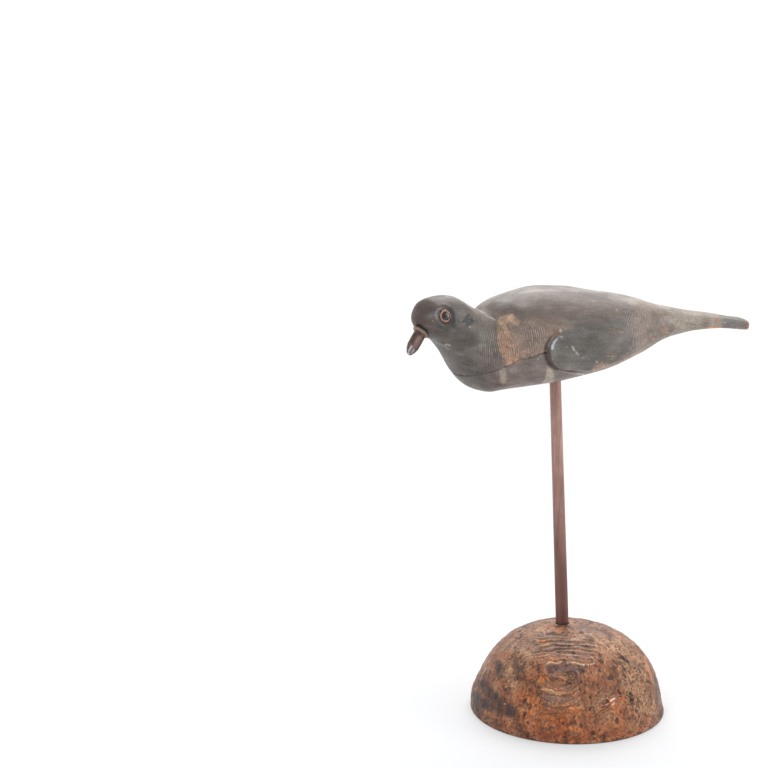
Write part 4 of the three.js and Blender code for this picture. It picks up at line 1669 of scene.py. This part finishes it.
@dataclass
class Bill:
    """The bill with its collar, let into the face."""

    sizes: BillSizes
    form: Form
    view: Viewpoint
    place: Array
    sides: int = 72
    root: float = 70.0
    pattern: tuple[tuple[float, float], ...] = ((30, 72), (61, 70), (78, 57), (93, 35), (97, 23), (98.5, 15))
    # Painted highlights: a pale streak down the bill.
    pale: Strokes = lines(
        (1.6, 0.55, 418.9, 336.8, 415, 344.2, 411.4, 351.3), (0.9, 0.5, 412.6, 345, 408.5, 352),
        (0.8, 0.3, 422, 339, 417, 347),
    )
    dark: Strokes = lines(
        (0.9, 0.6, 424, 340.5, 419, 348, 414.5, 353.3), (0.8, 0.55, 415.5, 334.5, 411.8, 342, 408.6, 348.5),
    )
    # Painted glints near the tip.
    glints: Strokes = lines(
        (0.7, 0.75, 411.5, 346.3, 408.6, 351.3), (1.1, 0.95, 408.4, 353.6), (0.6, 0.5, 413.6, 350, 411.8, 353.4),
    )

    def _rings(self, outline: Array, extra: float = 0.0) -> Array:
        """Rings across the bill, on its own axis.

        Args:
            outline: Rows of place along it and share of the collar in percent.
            extra: How much wider than the bill they are.

        Returns:
            Rings of points.
        """
        s = self.sizes
        angle = -math.tau * np.arange(self.sides) / self.sides
        along, share = outline[:, :1], outline[:, 1:] / 100
        drop = s.hook * (np.maximum(along, 0) / s.length) ** 2
        return np.stack([
            -along + 0 * angle,
            np.cos(angle) * (s.collar_width * share + extra),
            np.sin(angle) * (s.collar_depth * share + extra) - drop,
        ], axis=-1)

    def _shape(self, rings: Array, extra: float = 0.0) -> Shape:
        """Closes rings on the bill's own axis and turns them into their place."""
        s, head = self.sizes, self.form.head
        skin = Skin(np.array([s.socket + extra, 0.0, 0.0]), rings, np.array([-s.length, 0.0, -s.hook]))
        turned = Matrix.Rotation(head.turn, 3, "Z") @ Matrix.Rotation(-s.droop, 3, "Y")
        middle = head.place(s.along_head, 0.0, self.form.crown() - s.below_crown)
        return skin.points() @ np.array(turned).T + middle + self.place, skin.faces()

    def outline(self, rings: int) -> Array:
        """The bill's outline from its socket to near its tip, smooth beyond the collar."""
        s = self.sizes
        collar = [(-s.socket, 50), (-s.collar_band, 94), (-s.collar_band / 2, 100), (-s.edge, 95)]
        collar.append((s.edge, self.root))
        knots = np.array([(s.edge, self.root), *((s.length * at / 100, share) for at, share in self.pattern)])
        along = np.linspace(s.edge, knots[-1, 0], rings)[1:]
        return np.concatenate([collar, np.stack([along, np.interp(along, *knots.T)], axis=1)])

    def socket(self) -> Object:
        """The closed piece that cuts this bill's socket."""
        return to_object("bill_socket", self._shape(self._rings(self.outline(8), SOCKET_PLAY), SOCKET_PLAY))

    def build(self, finish: Material) -> None:
        """Makes the bill."""
        s = self.sizes
        rings = self._rings(self.outline(60))
        along = -rings[..., 0]
        height = np.sin(-math.tau * np.arange(self.sides) / self.sides)
        gape = bump_at(height, -0.22 - 0.1 * along / s.length, 0.09) * smooth(s.edge + 0.4, 2.5, along)
        gape = gape * smooth(0.97, 0.86, along / s.length)
        rings[..., 1] *= 1 - 0.075 * gape
        points, faces = self._shape(rings)
        bill = to_object("bill_varnished", (points, faces))
        flat = np.concatenate([[-s.socket], along.ravel(), [s.length]])
        sight = Sight(*self.view.picture(points), np.ones(len(points)))
        canvas = Canvas(len(points), srgb(88, 62, 56))
        lay = canvas.lay
        lay(srgb(112, 102, 94), smooth(-s.edge, -0.45 * s.collar_band, flat))
        # Painted shade where the collar goes into the face.
        lay(srgb(36, 28, 26), 0.85 * smooth(-0.7 * s.collar_band, -s.collar_band, flat))
        lay(srgb(70, 48, 40), 0.6 * band(flat, s.edge, 1.2, 1.2, 3.5))
        lay(srgb(196, 154, 116), 0.7 * bump_at(flat, -0.1, 0.3))
        # Painted highlights: the pale streak and the glints.
        lay(srgb(150, 122, 114), sight.marks(self.pale))
        lay(srgb(40, 28, 26), sight.marks(self.dark))
        lay(srgb(240, 240, 240), sight.marks(self.glints))
        lay(srgb(112, 104, 104), 0.55 * smooth(0.55, 0.95, flat / s.length))
        lay(srgb(30, 22, 20), 0.8 * np.concatenate([[0], gape.ravel(), [0]]))
        canvas.write(bill, 1 + 0.1 * Ripples(31, 5, (1, 1, 2))(points))
        hand_over(bill, finish, "bill_wood", "bill")


# The stand


@dataclass
class Rod:
    """The rod, made by rule: a tapered, slightly uneven dowel that leans."""

    sizes: RodSizes
    base: BaseSizes
    sides: int = 64
    rings: int = 260
    unevenness: float = 0.35
    seed: int = 4

    def node_group(self) -> Tree:
        """Geometry Nodes that make a tapered upright dowel between two heights about its own axis."""
        tree = bpy.data.node_groups.new("Uneven dowel", "GeometryNodeTree")
        graph = Graph(tree)
        for kind, labels in (
            ("Geometry", ("Geometry",)), ("Float", ("From", "To", "Radius from", "Radius to", "Unevenness")),
            ("Int", ("Seed", "Sides", "Rings")), ("Material", ("Finish",)),
        ):
            for label in labels:
                tree.interface.new_socket(label, in_out="INPUT", socket_type=f"NodeSocket{kind}")
        tree.interface.new_socket("Geometry", in_out="OUTPUT", socket_type="NodeSocketGeometry")
        given = graph.node("NodeGroupInput").outputs
        length = graph.minus(given["To"], given["From"])
        dowel = graph.node("GeometryNodeMeshCylinder", {
            "Vertices": given["Sides"], "Side Segments": given["Rings"], "Radius": 1.0, "Depth": length,
        }).outputs["Mesh"]
        x, y, z = graph.axes(graph.node("GeometryNodeInputPosition").outputs[0])
        share = graph.plus(graph.over(z, length), 0.5)
        taper = graph.node("ShaderNodeMapRange", {
            "Value": share, "To Min": given["Radius from"], "To Max": given["Radius to"],
        }).outputs["Result"]
        around = graph.node("ShaderNodeCombineXYZ", {0: x, 1: y, 2: graph.times(z, 9.0)}).outputs[0]
        uneven = graph.node("ShaderNodeTexNoise", {
            "Vector": around, "W": given["Seed"], "Scale": 1.4, "Detail": 3.0,
        }, noise_dimensions="4D").outputs["Fac"]
        radius = graph.minus(taper, graph.times(uneven, given["Unevenness"]))
        height = graph.plus(given["From"], graph.times(share, length))
        placed = {0: graph.times(x, radius), 1: graph.times(y, radius), 2: height}
        placed = graph.node("ShaderNodeCombineXYZ", placed).outputs[0]
        made = graph.node("GeometryNodeSetPosition", {"Geometry": dowel, "Position": placed}).outputs[0]
        made = graph.node("GeometryNodeRealizeInstances", {"Geometry": made}).outputs[0]
        made = graph.node("GeometryNodeSetMaterial", {"Geometry": made, "Material": given["Finish"]}).outputs[0]
        graph.node("NodeGroupOutput", {"Geometry": made})
        return tree

    def build(self, finish: Material) -> None:
        """Makes the rod, with what goes into the base and the belly."""
        s = self.sizes
        start, end = -s.socket_in_base, s.exposed + s.socket_in_belly
        thing = to_object("rod_stained", (np.zeros((1, 3)), []))
        modifier = thing.modifiers.new("dowel", "NODES")
        modifier.node_group = self.node_group()
        values = {
            "From": start * MM, "To": end * MM, "Radius from": s.radius_at(start) * MM,
            "Radius to": s.radius_at(end) * MM, "Unevenness": self.unevenness * MM, "Seed": self.seed,
            "Sides": self.sides, "Rings": self.rings, "Finish": finish,
        }
        for item in modifier.node_group.interface.items_tree:
            if item.in_out == "INPUT" and item.name in values:
                modifier[item.identifier] = values[item.name]
        bpy.context.view_layer.update()
        apply_modifiers(thing)
        upright = points_of(thing)
        lean = np.array(Matrix.Rotation(-s.lean, 3, "Y"))
        thing.data.vertices.foreach_set("co", ((upright @ lean.T + s.point(self.base, 0.0)) * MM).ravel())
        thing.data.shade_smooth()
        thing.data.update()
        height = upright[:, 2]
        # Painted shade where the rod goes into the base and the belly.
        contact = 0.7 * bump_at(height, 0, 1.6) + smooth(s.exposed - 2.5, s.exposed + 0.5, height)
        set_masks(thing, grime=unit(contact))
        hand_over(thing, finish, "rod_wood", "rod")

    def socket(self, start: float, end: float) -> Object:
        """A closed rod that cuts a socket.

        Args:
            start: Distance of its lower end from the rod's foot.
            end: Distance of its upper end.

        Returns:
            The cutter.
        """
        s = self.sizes
        turn = math.tau * np.arange(self.sides) / self.sides
        lean = np.array(Matrix.Rotation(-s.lean, 3, "Y"))
        circle = np.stack([np.cos(turn), np.sin(turn), 0.0 * turn], axis=1) @ lean.T
        low, high = s.point(self.base, start), s.point(self.base, end)
        rings = [at + circle * (s.radius_at(along) + SOCKET_PLAY) for at, along in ((low, start), (high, end))]
        skin = Skin(low, np.stack(rings), high)
        return to_object("rod_socket", (skin.points(), skin.faces()))


@dataclass
class BurlMarks:
    """Figure of the burl on the side that the photograph shows, in its pixels.

    Knots are rows of x, y and size. Far knots are rows of turn about the axis, height and size. Ridges, waves and
    arcs lie in bands: where they start, are full, begin to fade and are gone. The recess and the raised patch are
    ovals: x and y of the middle, half width and half height.
    """

    dark: Strokes = lines(
        (3, 0.75, 498, 662, 500, 676), (2.6, 0.65, 515.5, 660, 518, 670), (2.4, 0.6, 533, 684),
        (6, 0.8, 484, 686, 496, 703), (6, 0.88, 481, 702, 512, 711), (4, 0.8, 476, 694, 479, 714),
        (5, 0.9, 494, 700, 503, 710), (2, 0.4, 600, 668, 605, 676), (1.6, 0.55, 530, 690, 536, 680),
        (3.4, 0.55, 656, 668, 661, 716), (4.6, 0.5, 568, 722), (2.2, 0.6, 575, 723), (1.6, 0.5, 583, 712, 588, 733),
        (2.6, 0.4, 500, 724, 524, 735), (3, 0.45, 487, 718, 497, 725), (2.5, 0.4, 515, 721),
        (2.6, 0.4, 549, 668, 552, 673), (1.8, 0.6, 583.5, 671.5), (1.4, 0.4, 595, 714, 600, 730),
        (1.4, 0.5, 584, 700, 586, 710), (0.9, 0.8, 545.5, 630, 547.5, 634.5, 552, 633.6, 555, 634.8, 562, 634.2),
        (0.7, 0.4, 547, 628, 552, 626, 560, 625.6), (1.8, 0.5, 588, 636, 594, 641),
    ) + arcs(
        (1, 0.8, 571.5, 675.5, 5.6, 4.6, -150, 120), (0.9, 0.85, 571, 675.8, 2.4, 2, 0, 300),
        (0.8, 0.5, 571.5, 675.5, 9.5, 8, -60, 100), (0.7, 0.55, 561, 664, 22, 22, 30, 150),
        (0.7, 0.45, 561, 664, 27, 27, 40, 140), (0.7, 0.6, 559, 664, 33, 32, 50, 125),
        (0.7, 0.45, 559, 666, 36, 36, 52, 120), (0.8, 0.6, 558, 668, 40, 40, 50, 115),
        (0.7, 0.4, 508, 664, 11, 14, 20, 170), (0.7, 0.3, 508, 664, 15, 19, 30, 160),
    )
    pits: Strokes = lines(
        (1.6, 0.9, 622, 657, 628, 662), (1.7, 0.9, 630, 693, 632, 703), (1.5, 0.7, 636.5, 711),
        (1.1, 0.7, 625, 676), (1.2, 0.7, 634, 668), (1.2, 0.6, 641, 677), (1, 0.6, 616, 671), (1.2, 0.6, 638, 686),
        (1, 0.6, 627, 684), (1.2, 0.6, 645, 694), (0.9, 0.5, 619, 681), (1.1, 0.6, 644, 664), (1.2, 0.6, 621, 664),
        (1.4, 0.6, 633, 677), (1, 0.6, 647, 682), (1.2, 0.5, 630, 719), (1, 0.5, 641, 722), (0.9, 0.5, 611, 668),
        (0.8, 1, 618, 690, 621, 694), (1.1, 0.5, 648, 707), (1, 0.5, 505.5, 690), (0.9, 0.5, 512, 657),
    )
    knots: tuple[Row, ...] = (
        (571.5, 675.5, 6), (560, 722, 5.5), (508, 665, 8), (532, 685, 4), (631, 698, 5), (640, 668, 6),
    )
    far_knots: tuple[Row, ...] = (
        (1.1, 40, 9), (1.9, 22, 7), (0.3, 30, 8), (2.6, 48, 8), (1.5, 62, 6), (3.2, 20, 8),
    )
    # Painted highlights on the glossy ridges.
    glints: Strokes = lines(
        (0.6, 0.9, 610.5, 701.2, 612.4, 699.4, 614.6, 698.6), (0.5, 0.7, 612, 705, 614, 703.6),
        (0.5, 0.4, 606, 705, 608, 703.6), (0.6, 0.35, 598, 708), (0.6, 0.35, 602, 699), (0.6, 0.5, 504.6, 704),
        (0.6, 0.3, 601, 688.5), (0.5, 0.3, 596, 693), (0.6, 0.35, 607, 694),
    )
    orange: Strokes = lines(
        (3, 0.9, 540, 680, 546, 678), (4, 0.9, 570, 706, 580, 712), (4, 0.8, 548, 718, 562, 720),
        (4.5, 0.7, 525, 696, 536, 706), (2.4, 0.9, 553, 724), (3, 0.7, 566, 728, 588, 730),
        (2.2, 0.6, 545, 690, 575, 694), (3, 0.6, 505, 726, 512, 724), (4, 0.6, 612, 700, 622, 720),
        (2.4, 0.6, 536, 640, 548, 643), (1.6, 0.6, 540, 655, 560, 662), (3.4, 0.6, 548, 628, 566, 631),
        (1.6, 0.6, 594, 652, 598, 664), (3, 0.5, 620, 690, 624, 700), (3, 0.6, 530, 712, 545, 716),
    )
    plum: Strokes = lines(
        (4.2, 0.75, 549, 668, 582, 669), (4, 0.5, 546, 644, 582, 645), (3.4, 0.5, 548, 651, 588, 655),
        (4, 0.45, 545, 697, 575, 700), (5, 0.3, 503, 640, 520, 650), (4, 0.45, 580, 626, 610, 634),
        (3, 0.5, 550, 608, 600, 612),
    )
    sand: Strokes = lines(
        (4, 0.5, 515, 648, 528, 655), (7, 0.45, 506, 664, 514, 686), (9, 0.5, 618, 648, 640, 670),
        (9, 0.5, 632, 676, 640, 706), (6, 0.35, 600, 640, 616, 650), (5, 0.35, 480, 668, 490, 650),
        (0.8, 0.6, 547, 664, 552, 662.3, 562, 661.5, 570, 662.5, 580, 664, 588, 666.5, 594, 662, 597, 657),
        (5, 0.3, 560, 702, 580, 704), (5, 0.3, 636, 700, 650, 712), (0.7, 0.6, 549, 691, 556, 694, 561, 695),
    )
    crests: Strokes = lines(
        (0.6, 0.75, 544.7, 665.4, 548, 663, 551.4, 661.6, 557.2, 663.7, 561.3, 661.6),
        (0.6, 0.75, 561.3, 661.6, 567.9, 662.9, 574.5, 662.1, 581.1, 664.5, 587.8, 664.9),
        (0.6, 0.65, 587.8, 664.9, 593.6, 663.7, 594.4, 659.6, 591.1, 656.3),
        (0.5, 0.45, 541, 645.5, 551.4, 643.9, 561.3, 643.4, 577.8, 644.7, 590, 643.4),
        (0.5, 0.4, 543, 655.5, 554, 653, 567, 655, 582, 655.6), (0.5, 0.6, 541, 689, 551, 690, 558, 693.6),
        (0.5, 0.4, 560, 676.5, 566, 679.6),
    )
    crusty: Strokes = lines((14, 1, 628, 656, 640, 706), (8, 0.6, 505, 665, 512, 684))
    ridges: Numbers = (528, 541, 590, 601)
    waves: Numbers = (600, 615, 664, 676)
    arcs_across: Numbers = (538, 550, 576, 590)
    arcs_down: Numbers = (682, 688, 714, 724)
    arcs_about: tuple[float, float] = (556, 664)
    recess: Numbers = (566, 670.5, 20, 6.5)
    patch: Numbers = (558, 630.5, 11, 4.6)
    glossy: Strokes = lines(
        (7, 1, 603, 700, 614, 698), (6, 1, 600, 712, 612, 716), (5, 0.5, 550, 668, 583, 668),
        (6, 0.4, 580, 640, 590, 655), (4, 0.4, 655, 668, 658, 700),
    )


@dataclass
class BurlBase:
    """The half dome of burl wood, with the ridges, knot and pits left where its bark was."""

    sizes: BaseSizes
    rod: RodSizes
    view: Viewpoint
    rings: int = 196
    sides: int = 396
    toward_view: float = 0.52
    ridge_pitch: float = 3.8
    figure: BurlMarks = field(default_factory=BurlMarks)

    def _dome(self) -> Skin:
        """The plain dome with its slow swells, closer set towards the photograph."""
        s = self.sizes
        even = math.tau * np.arange(self.sides) / self.sides
        turn = math.atan2(self.view.eye[1], self.view.eye[0]) + even - self.toward_view * np.sin(even)
        rising = np.linspace(0, math.pi / 2, self.rings)[:-1]
        dome = s.foot_round + (s.height - s.foot_round) * np.sin(rising)
        z = np.concatenate([[0.0, 0.0, 0.0, 0.4 * s.foot_round], dome])
        radius = s.radius_at(z)
        radius[:4] = [s.radius * 0.4, s.radius * 0.85, s.radius - s.foot_round, s.radius - 0.45 * s.foot_round]
        z, radius = z[:, None] + 0 * turn, radius[:, None] + 0 * turn
        fade = smooth(0, s.even_below, z) * smooth(0, s.even_within, radius)
        swell = sum(
            part * np.sin(lobes * turn + winding * z / s.height + start) for lobes, winding, start, part in s.swells
        )
        radius = radius * (1 + s.lump * fade * swell / s.radius)
        rings = np.stack([radius * np.cos(turn), radius * np.sin(turn), z], axis=-1)
        return Skin(np.zeros(3), rings, np.array([0.0, 0.0, s.height]))

    def figure_of(self, points: Array, sight: Sight) -> tuple[Array, Array, Array]:
        """The figure: ridges, knots with rings about them and slanting waves.

        Args:
            points: Points on the dome.
            sight: Where they show in the photograph.

        Returns:
            A number in millimetres whose level lines the figure follows, how strongly ridges stand out along
            them, and how far the figure lies level rather than climbing the dome.
        """
        across, down, seen, marked = sight.across, sight.down, sight.seen, self.figure
        far, height = 1 - seen, points[:, 2]
        bow = 0.0035 * (across - 566) ** 2
        ridges = band(across, *marked.ridges)
        calm = 1 - 0.7 * ridges * bump_at(down, 650, 20) * seen
        ridges = ridges * smooth(633, 640, down) * smooth(665, 661, down - 0.35 * bow) * seen
        ridges = ridges * (1 - 0.5 * smooth(650, 655, down))
        arcs = band(across, *marked.arcs_across) * band(down, *marked.arcs_down) * seen
        slants = bump_at(across, 607, 16) * bump_at(down, 706, 20) * seen
        lying = seen * down + far * (742 - 1.15 * height)
        lying += (1.7 * Ripples(41, 15)(points) + 0.45 * Ripples(42, 4.5)(points)) * calm
        lying -= bow * band(down, *marked.waves) * seen
        x, y = marked.arcs_about
        lying += arcs * (np.hypot(across - x, down - y) - (down - y)) + 0.75 * (across - 600) * slants
        knots = [
            (size, bump_at(across, x, 1.25 * size) * bump_at(down, y, size) * seen) for x, y, size in marked.knots
        ]
        for turn, level, size in marked.far_knots:
            radius = self.sizes.radius_at(level)
            middle = (radius * math.cos(turn), radius * math.sin(turn), level)
            knots.append((size, bump_at(np.linalg.norm(points - middle, axis=1), 0, size) * far))
        lying += sum(2.3 * size * rings for size, rings in knots)
        knotty = smooth(0.1, 0.6, np.max([rings for _, rings in knots], axis=0))
        standing = unit(ridges + 0.55 * arcs + 0.8 * slants + 0.45 * knotty)
        patches = 0.4 * smooth(0.1, 0.8, Ripples(46, 24)(points)) * far
        level = np.max([standing, patches, smooth(60, 76, height), knotty], axis=0)
        return lying, standing, unit(level + 0.8 * smooth(20, 8, height))

    def relief(self, points: Array, sight: Sight, lying: Array, standing: Array) -> tuple[Array, Array]:
        """How far the surface stands out from the dome.

        Args:
            points: Points on the dome.
            sight: Where they show in the photograph.
            lying: The number whose level lines the figure follows.
            standing: How strongly ridges stand out along them.

        Returns:
            The height at each, and the height of the figure alone from about -1 to 1.
        """
        loose = 0.5 * Ripples(43, 12)(points) + 0.35 * Ripples(44, 4.6)(points) + 0.25 * Ripples(45, 2.8)(points)
        figure = np.sin(math.tau * lying / self.ridge_pitch) * standing + (1 - 0.8 * standing) * loose
        recess = smooth(1.1, 0.75, sight.oval(*self.figure.recess)) * sight.seen
        patch = smooth(1.1, 0.8, sight.oval(*self.figure.patch)) * sight.seen
        height = (0.32 + 0.38 * standing) * figure * (1 - 0.8 * patch) + 0.5 * patch - 0.75
        height = np.minimum(height - 1.3 * recess - 1.2 * sight.marks(self.figure.pits), -0.02)
        return height * smooth(0, 4, points[:, 2]) * smooth(7, 10, self.rod.away(points)), figure

    def build(self, finish: Material, socket: Object) -> None:
        """Makes the base.

        Args:
            finish: Its material.
            socket: The closed rod that cuts its socket.
        """
        skin = self._dome()
        points, normals = skin.points(), skin.normals((0.0, 0.0, -1.0), (0.0, 0.0, 1.0))
        sight = self.view.sight(points, normals)
        lying, standing, _ = self.figure_of(points, sight)
        height, _ = self.relief(points, sight, lying, standing)
        points = points + normals * (height * (points[:, 2] > 0))[:, None]
        points[:, 2] = np.maximum(points[:, 2], 0)
        base = to_object("burl_base_figured", (points, skin.faces()))
        cut(base, [(socket, Cut.AWAY)])
        self.paint(base)
        hand_over(base, finish, "burl_wood", "burl_base")

    def paint(self, base: Object) -> None:
        """Writes the burl's tones and masks."""
        points, marked = points_of(base), self.figure
        sight = self.view.sight(points, normals_of(base))
        across, down, seen, marks = sight.across, sight.down, sight.seen, sight.marks
        far, height = 1 - seen, points[:, 2]
        lying, standing, level = self.figure_of(points, sight)
        _, figure = self.relief(points, sight, lying, standing)
        blotch, clot, fine = Ripples(51, 26)(points), Ripples(52, 9, (1, 1, 1.6))(points), Ripples(53, 2.4)(points)
        canvas = Canvas(len(points), srgb(150, 92, 55))
        lay = canvas.lay
        lay(srgb(164, 94, 52), 0.45 * smooth(0.1, 1.3, blotch) * (1 - 0.6 * smooth(40, 70, height)))
        lay(srgb(148, 108, 78), 0.6 * smooth(0.2, 1.2, -blotch))
        lay(srgb(102, 69, 51), 0.65 * smooth(524, 476, across) * seen * smooth(645, 685, down))
        lay(srgb(150, 78, 38), 0.7 * smooth(712, 732, down) * seen * bump_at(across, 566, 56))
        lay(srgb(84, 60, 52), 0.35 * smooth(0.7, 1.4, clot) * (1 - 0.5 * standing))
        far_plum = smooth(0.3, 0.9, Ripples(57, 20, (1.3, 1.3, 1))(points)) * far
        far_stain = smooth(0.7, 1.3, Ripples(54, 24)(points)) * far
        lay(srgb(116, 88, 78), 0.6 * far_plum)
        lay(srgb(68, 47, 40), 0.75 * far_stain)
        lay(srgb(182, 102, 50), 0.36 * smooth(0.6, 1.4, -clot) * smooth(50, 26, height))
        # Painted sheen: the top of the dome made paler.
        lay(srgb(170, 130, 102), 0.5 * smooth(56, 80, height))
        lay(srgb(142, 114, 94), 0.5 * standing * smooth(30, 50, height) * seen)
        plum, stained = marks(marked.plum), marks(marked.dark)
        lay(srgb(112, 84, 76), plum)
        broken = smooth(-0.25, 0.35, Ripples(55, 3.2, (1.8, 1.8, 1))(points))
        lay(srgb(194, 112, 52), marks(marked.orange) * (0.2 + 0.8 * broken))
        lay(srgb(182, 138, 102), marks(marked.sand))
        lay(srgb(72, 47, 38), stained * np.clip(0.86 + 0.2 * clot + 0.08 * fine, 0.35, 1))
        lay(srgb(38, 26, 24), marks(marked.pits))
        lay(srgb(56, 35, 27), (0.62 - 0.06 * standing) * smooth(0.35 + 0.3 * standing, 1, -figure))
        crest = smooth(0.45 + 0.15 * standing, 1, figure) * (1 - 0.9 * stained)
        lay(srgb(190, 142, 104), (0.3 + 0.2 * standing) * crest)
        lay(srgb(212, 168, 130), marks(marked.crests))
        # Painted highlights on the glossy ridges.
        lay(srgb(232, 222, 214), marks(marked.glints))
        lay(srgb(48, 32, 26), 0.75 * smooth(2.6 + 1.2 * clot, 0.5, height))
        canvas.write(base, 1 + 0.1 * fine)
        # Painted shade about the rod's foot.
        rim, away = self.rod.foot_radius, self.rod.away(points)
        crust = 0.88 * marks(marked.crusty) + 0.6 * smooth(0.2, 1, Ripples(56, 30)(points)) * far
        set_masks(
            base, grime=smooth(rim + 1.1, rim, away) * smooth(20, 40, height), lying=lying, level=level,
            gloss=unit(0.2 + 0.9 * marks(marked.glossy) + 0.3 * smooth(0.3, 1, figure)),
            pitted=unit(0.12 + crust), calm=np.max([stained, 0.9 * plum, far_stain, 0.8 * far_plum], axis=0),
        )


# The studio


@dataclass
class Studio:
    """A pale table before a white backdrop, soft lights and the camera."""

    view: Viewpoint
    table_reach: float = 2299.0
    table_depth: float = 5200.0
    backdrop_behind: float = 1500.0
    backdrop_heights: tuple[float, float] = (-2500.0, 4500.0)
    half_width: float = 6000.0

    def _sheet(self, name: str, near: Array, far: Array, finish: Finish) -> None:
        """A flat sheet between the middles of two edges, which isn't part of the object."""
        side = np.array(self.view.right) * self.half_width
        thing = to_object(name, (np.array([near - side, near + side, far + side, far - side]), [(0, 1, 2, 3)]))
        thing.data.materials.append(finish.material())

    def _place(self, name: str, data: bpy.types.ID, at: Sequence[float], ahead: Vector) -> Object:
        """Puts a light or camera at a place in metres, looking ahead."""
        thing = bpy.data.objects.new(name, data)
        thing.location, thing.rotation_euler = at, ahead.to_track_quat("-Z", "Y").to_euler()
        bpy.context.scene.collection.objects.link(thing)
        return thing

    def _light(self, name: str, at: Row, toward: Row, size: float, power: float, tint: Colour) -> None:
        """A square soft light.

        Args:
            name: Its name.
            at: Its place in metres.
            toward: The place that it faces.
            size: Its width in metres.
            power: Its power in watts.
            tint: Its colour.
        """
        data = bpy.data.lights.new(name, "AREA")
        data.shape, data.size, data.energy, data.color = "SQUARE", size, power, tint
        self._place(name, data, at, Vector(toward) - Vector(at))

    def build(self) -> None:
        """Sets out table, backdrop, lights and camera."""
        level = np.array([1.0, 1.0, 0.0])
        ahead = np.array(self.view.forward) * level
        ahead /= np.linalg.norm(ahead)
        edge = np.array(self.view.eye) * level + ahead * self.table_reach
        self._sheet("table", edge - ahead * self.table_depth, edge, PlainPaper("table_paper"))
        back = edge + ahead * self.backdrop_behind
        low, high = (back + np.array([0.0, 0.0, height]) for height in self.backdrop_heights)
        self._sheet("backdrop", low, high, LitBackdrop("backdrop_white", 1.05))
        self._light("overhead", (0.5, 1.1, 1.9), (0.0, 0.0, 0.3), 1.6, 26.0, (1.0, 0.985, 0.97))
        self._light("right_window", (1.9, -0.9, 1.0), (0.0, 0.0, 0.3), 1.3, 18.0, (1.0, 0.98, 0.96))
        self._light("left_window", (-1.5, -1.3, 1.5), (-0.05, 0.0, 0.3), 0.5, 11.0, (0.93, 0.97, 1.0))
        world = bpy.data.worlds.new("studio")
        world.use_nodes = True
        graph = Graph(world.node_tree)
        glow = graph.node("ShaderNodeBackground", {"Color": (0.97, 0.985, 1.0), "Strength": 0.68}).outputs[0]
        graph.node("ShaderNodeOutputWorld", {"Surface": glow})
        data = bpy.data.cameras.new("photo_camera")
        data.lens, data.sensor_width, data.clip_end = self.view.lens, self.view.sensor, 20.0
        scene = bpy.context.scene
        scene.world = world
        scene.view_settings.view_transform = "Standard"
        scene.camera = self._place("photo_camera", data, np.array(self.view.eye) * MM, Vector(self.view.forward))
        log.info("studio: table, backdrop, three lights and the camera")


def main() -> None:
    """Builds the decoy from the top down, then the studio."""
    view, base_sizes, rod_sizes, form = Viewpoint(), BaseSizes(), RodSizes(), Form()
    rod = Rod(rod_sizes, base_sizes)
    belly_at_rod = float(form.body.section(np.array([form.bird.rod_at]))[1][0])
    place = rod_sizes.point(base_sizes, rod_sizes.exposed) - np.array([form.bird.rod_at, 0.0, belly_at_rod])
    bird = Bird(form, place, view)
    eyes = [Eye(side, bird.eye, *bird.eye_seat(side), place) for side in Side]
    bill = Bill(BillSizes(), form, view, place)
    paint = WornPaint("painted_wood").material()
    middle = rod_sizes.exposed / 2
    in_belly = (middle, rod_sizes.exposed + rod_sizes.socket_in_belly + SOCKET_PLAY)
    sockets = {Half.UPPER: [piece.socket() for piece in (*eyes, bill)], Half.LOWER: [rod.socket(*in_belly)]}
    for half in Half:
        block = bird.carve(half, [(socket, Cut.AWAY) for socket in sockets[half]])
        bird.paint(block)
        hand_over(block, paint, "painted_wood", f"{half.name.lower()}_block")
    glass, iris = ClearGlass("eye_glass").material(), PaintedIris("iris_paint").material()
    for eye in eyes:
        eye.build(glass, iris)
    bill.build(VarnishedWood("bill_varnish").material())
    rod.build(StainedWood("rod_stain").material())
    in_base = rod.socket(-rod_sizes.socket_in_base - SOCKET_PLAY, middle)
    BurlBase(base_sizes, rod_sizes, view).build(BurlWood("burl_wood").material(), in_base)
    Studio(view).build()


if __name__ == "__main__":
    logging.basicConfig(level=logging.INFO)
    main()
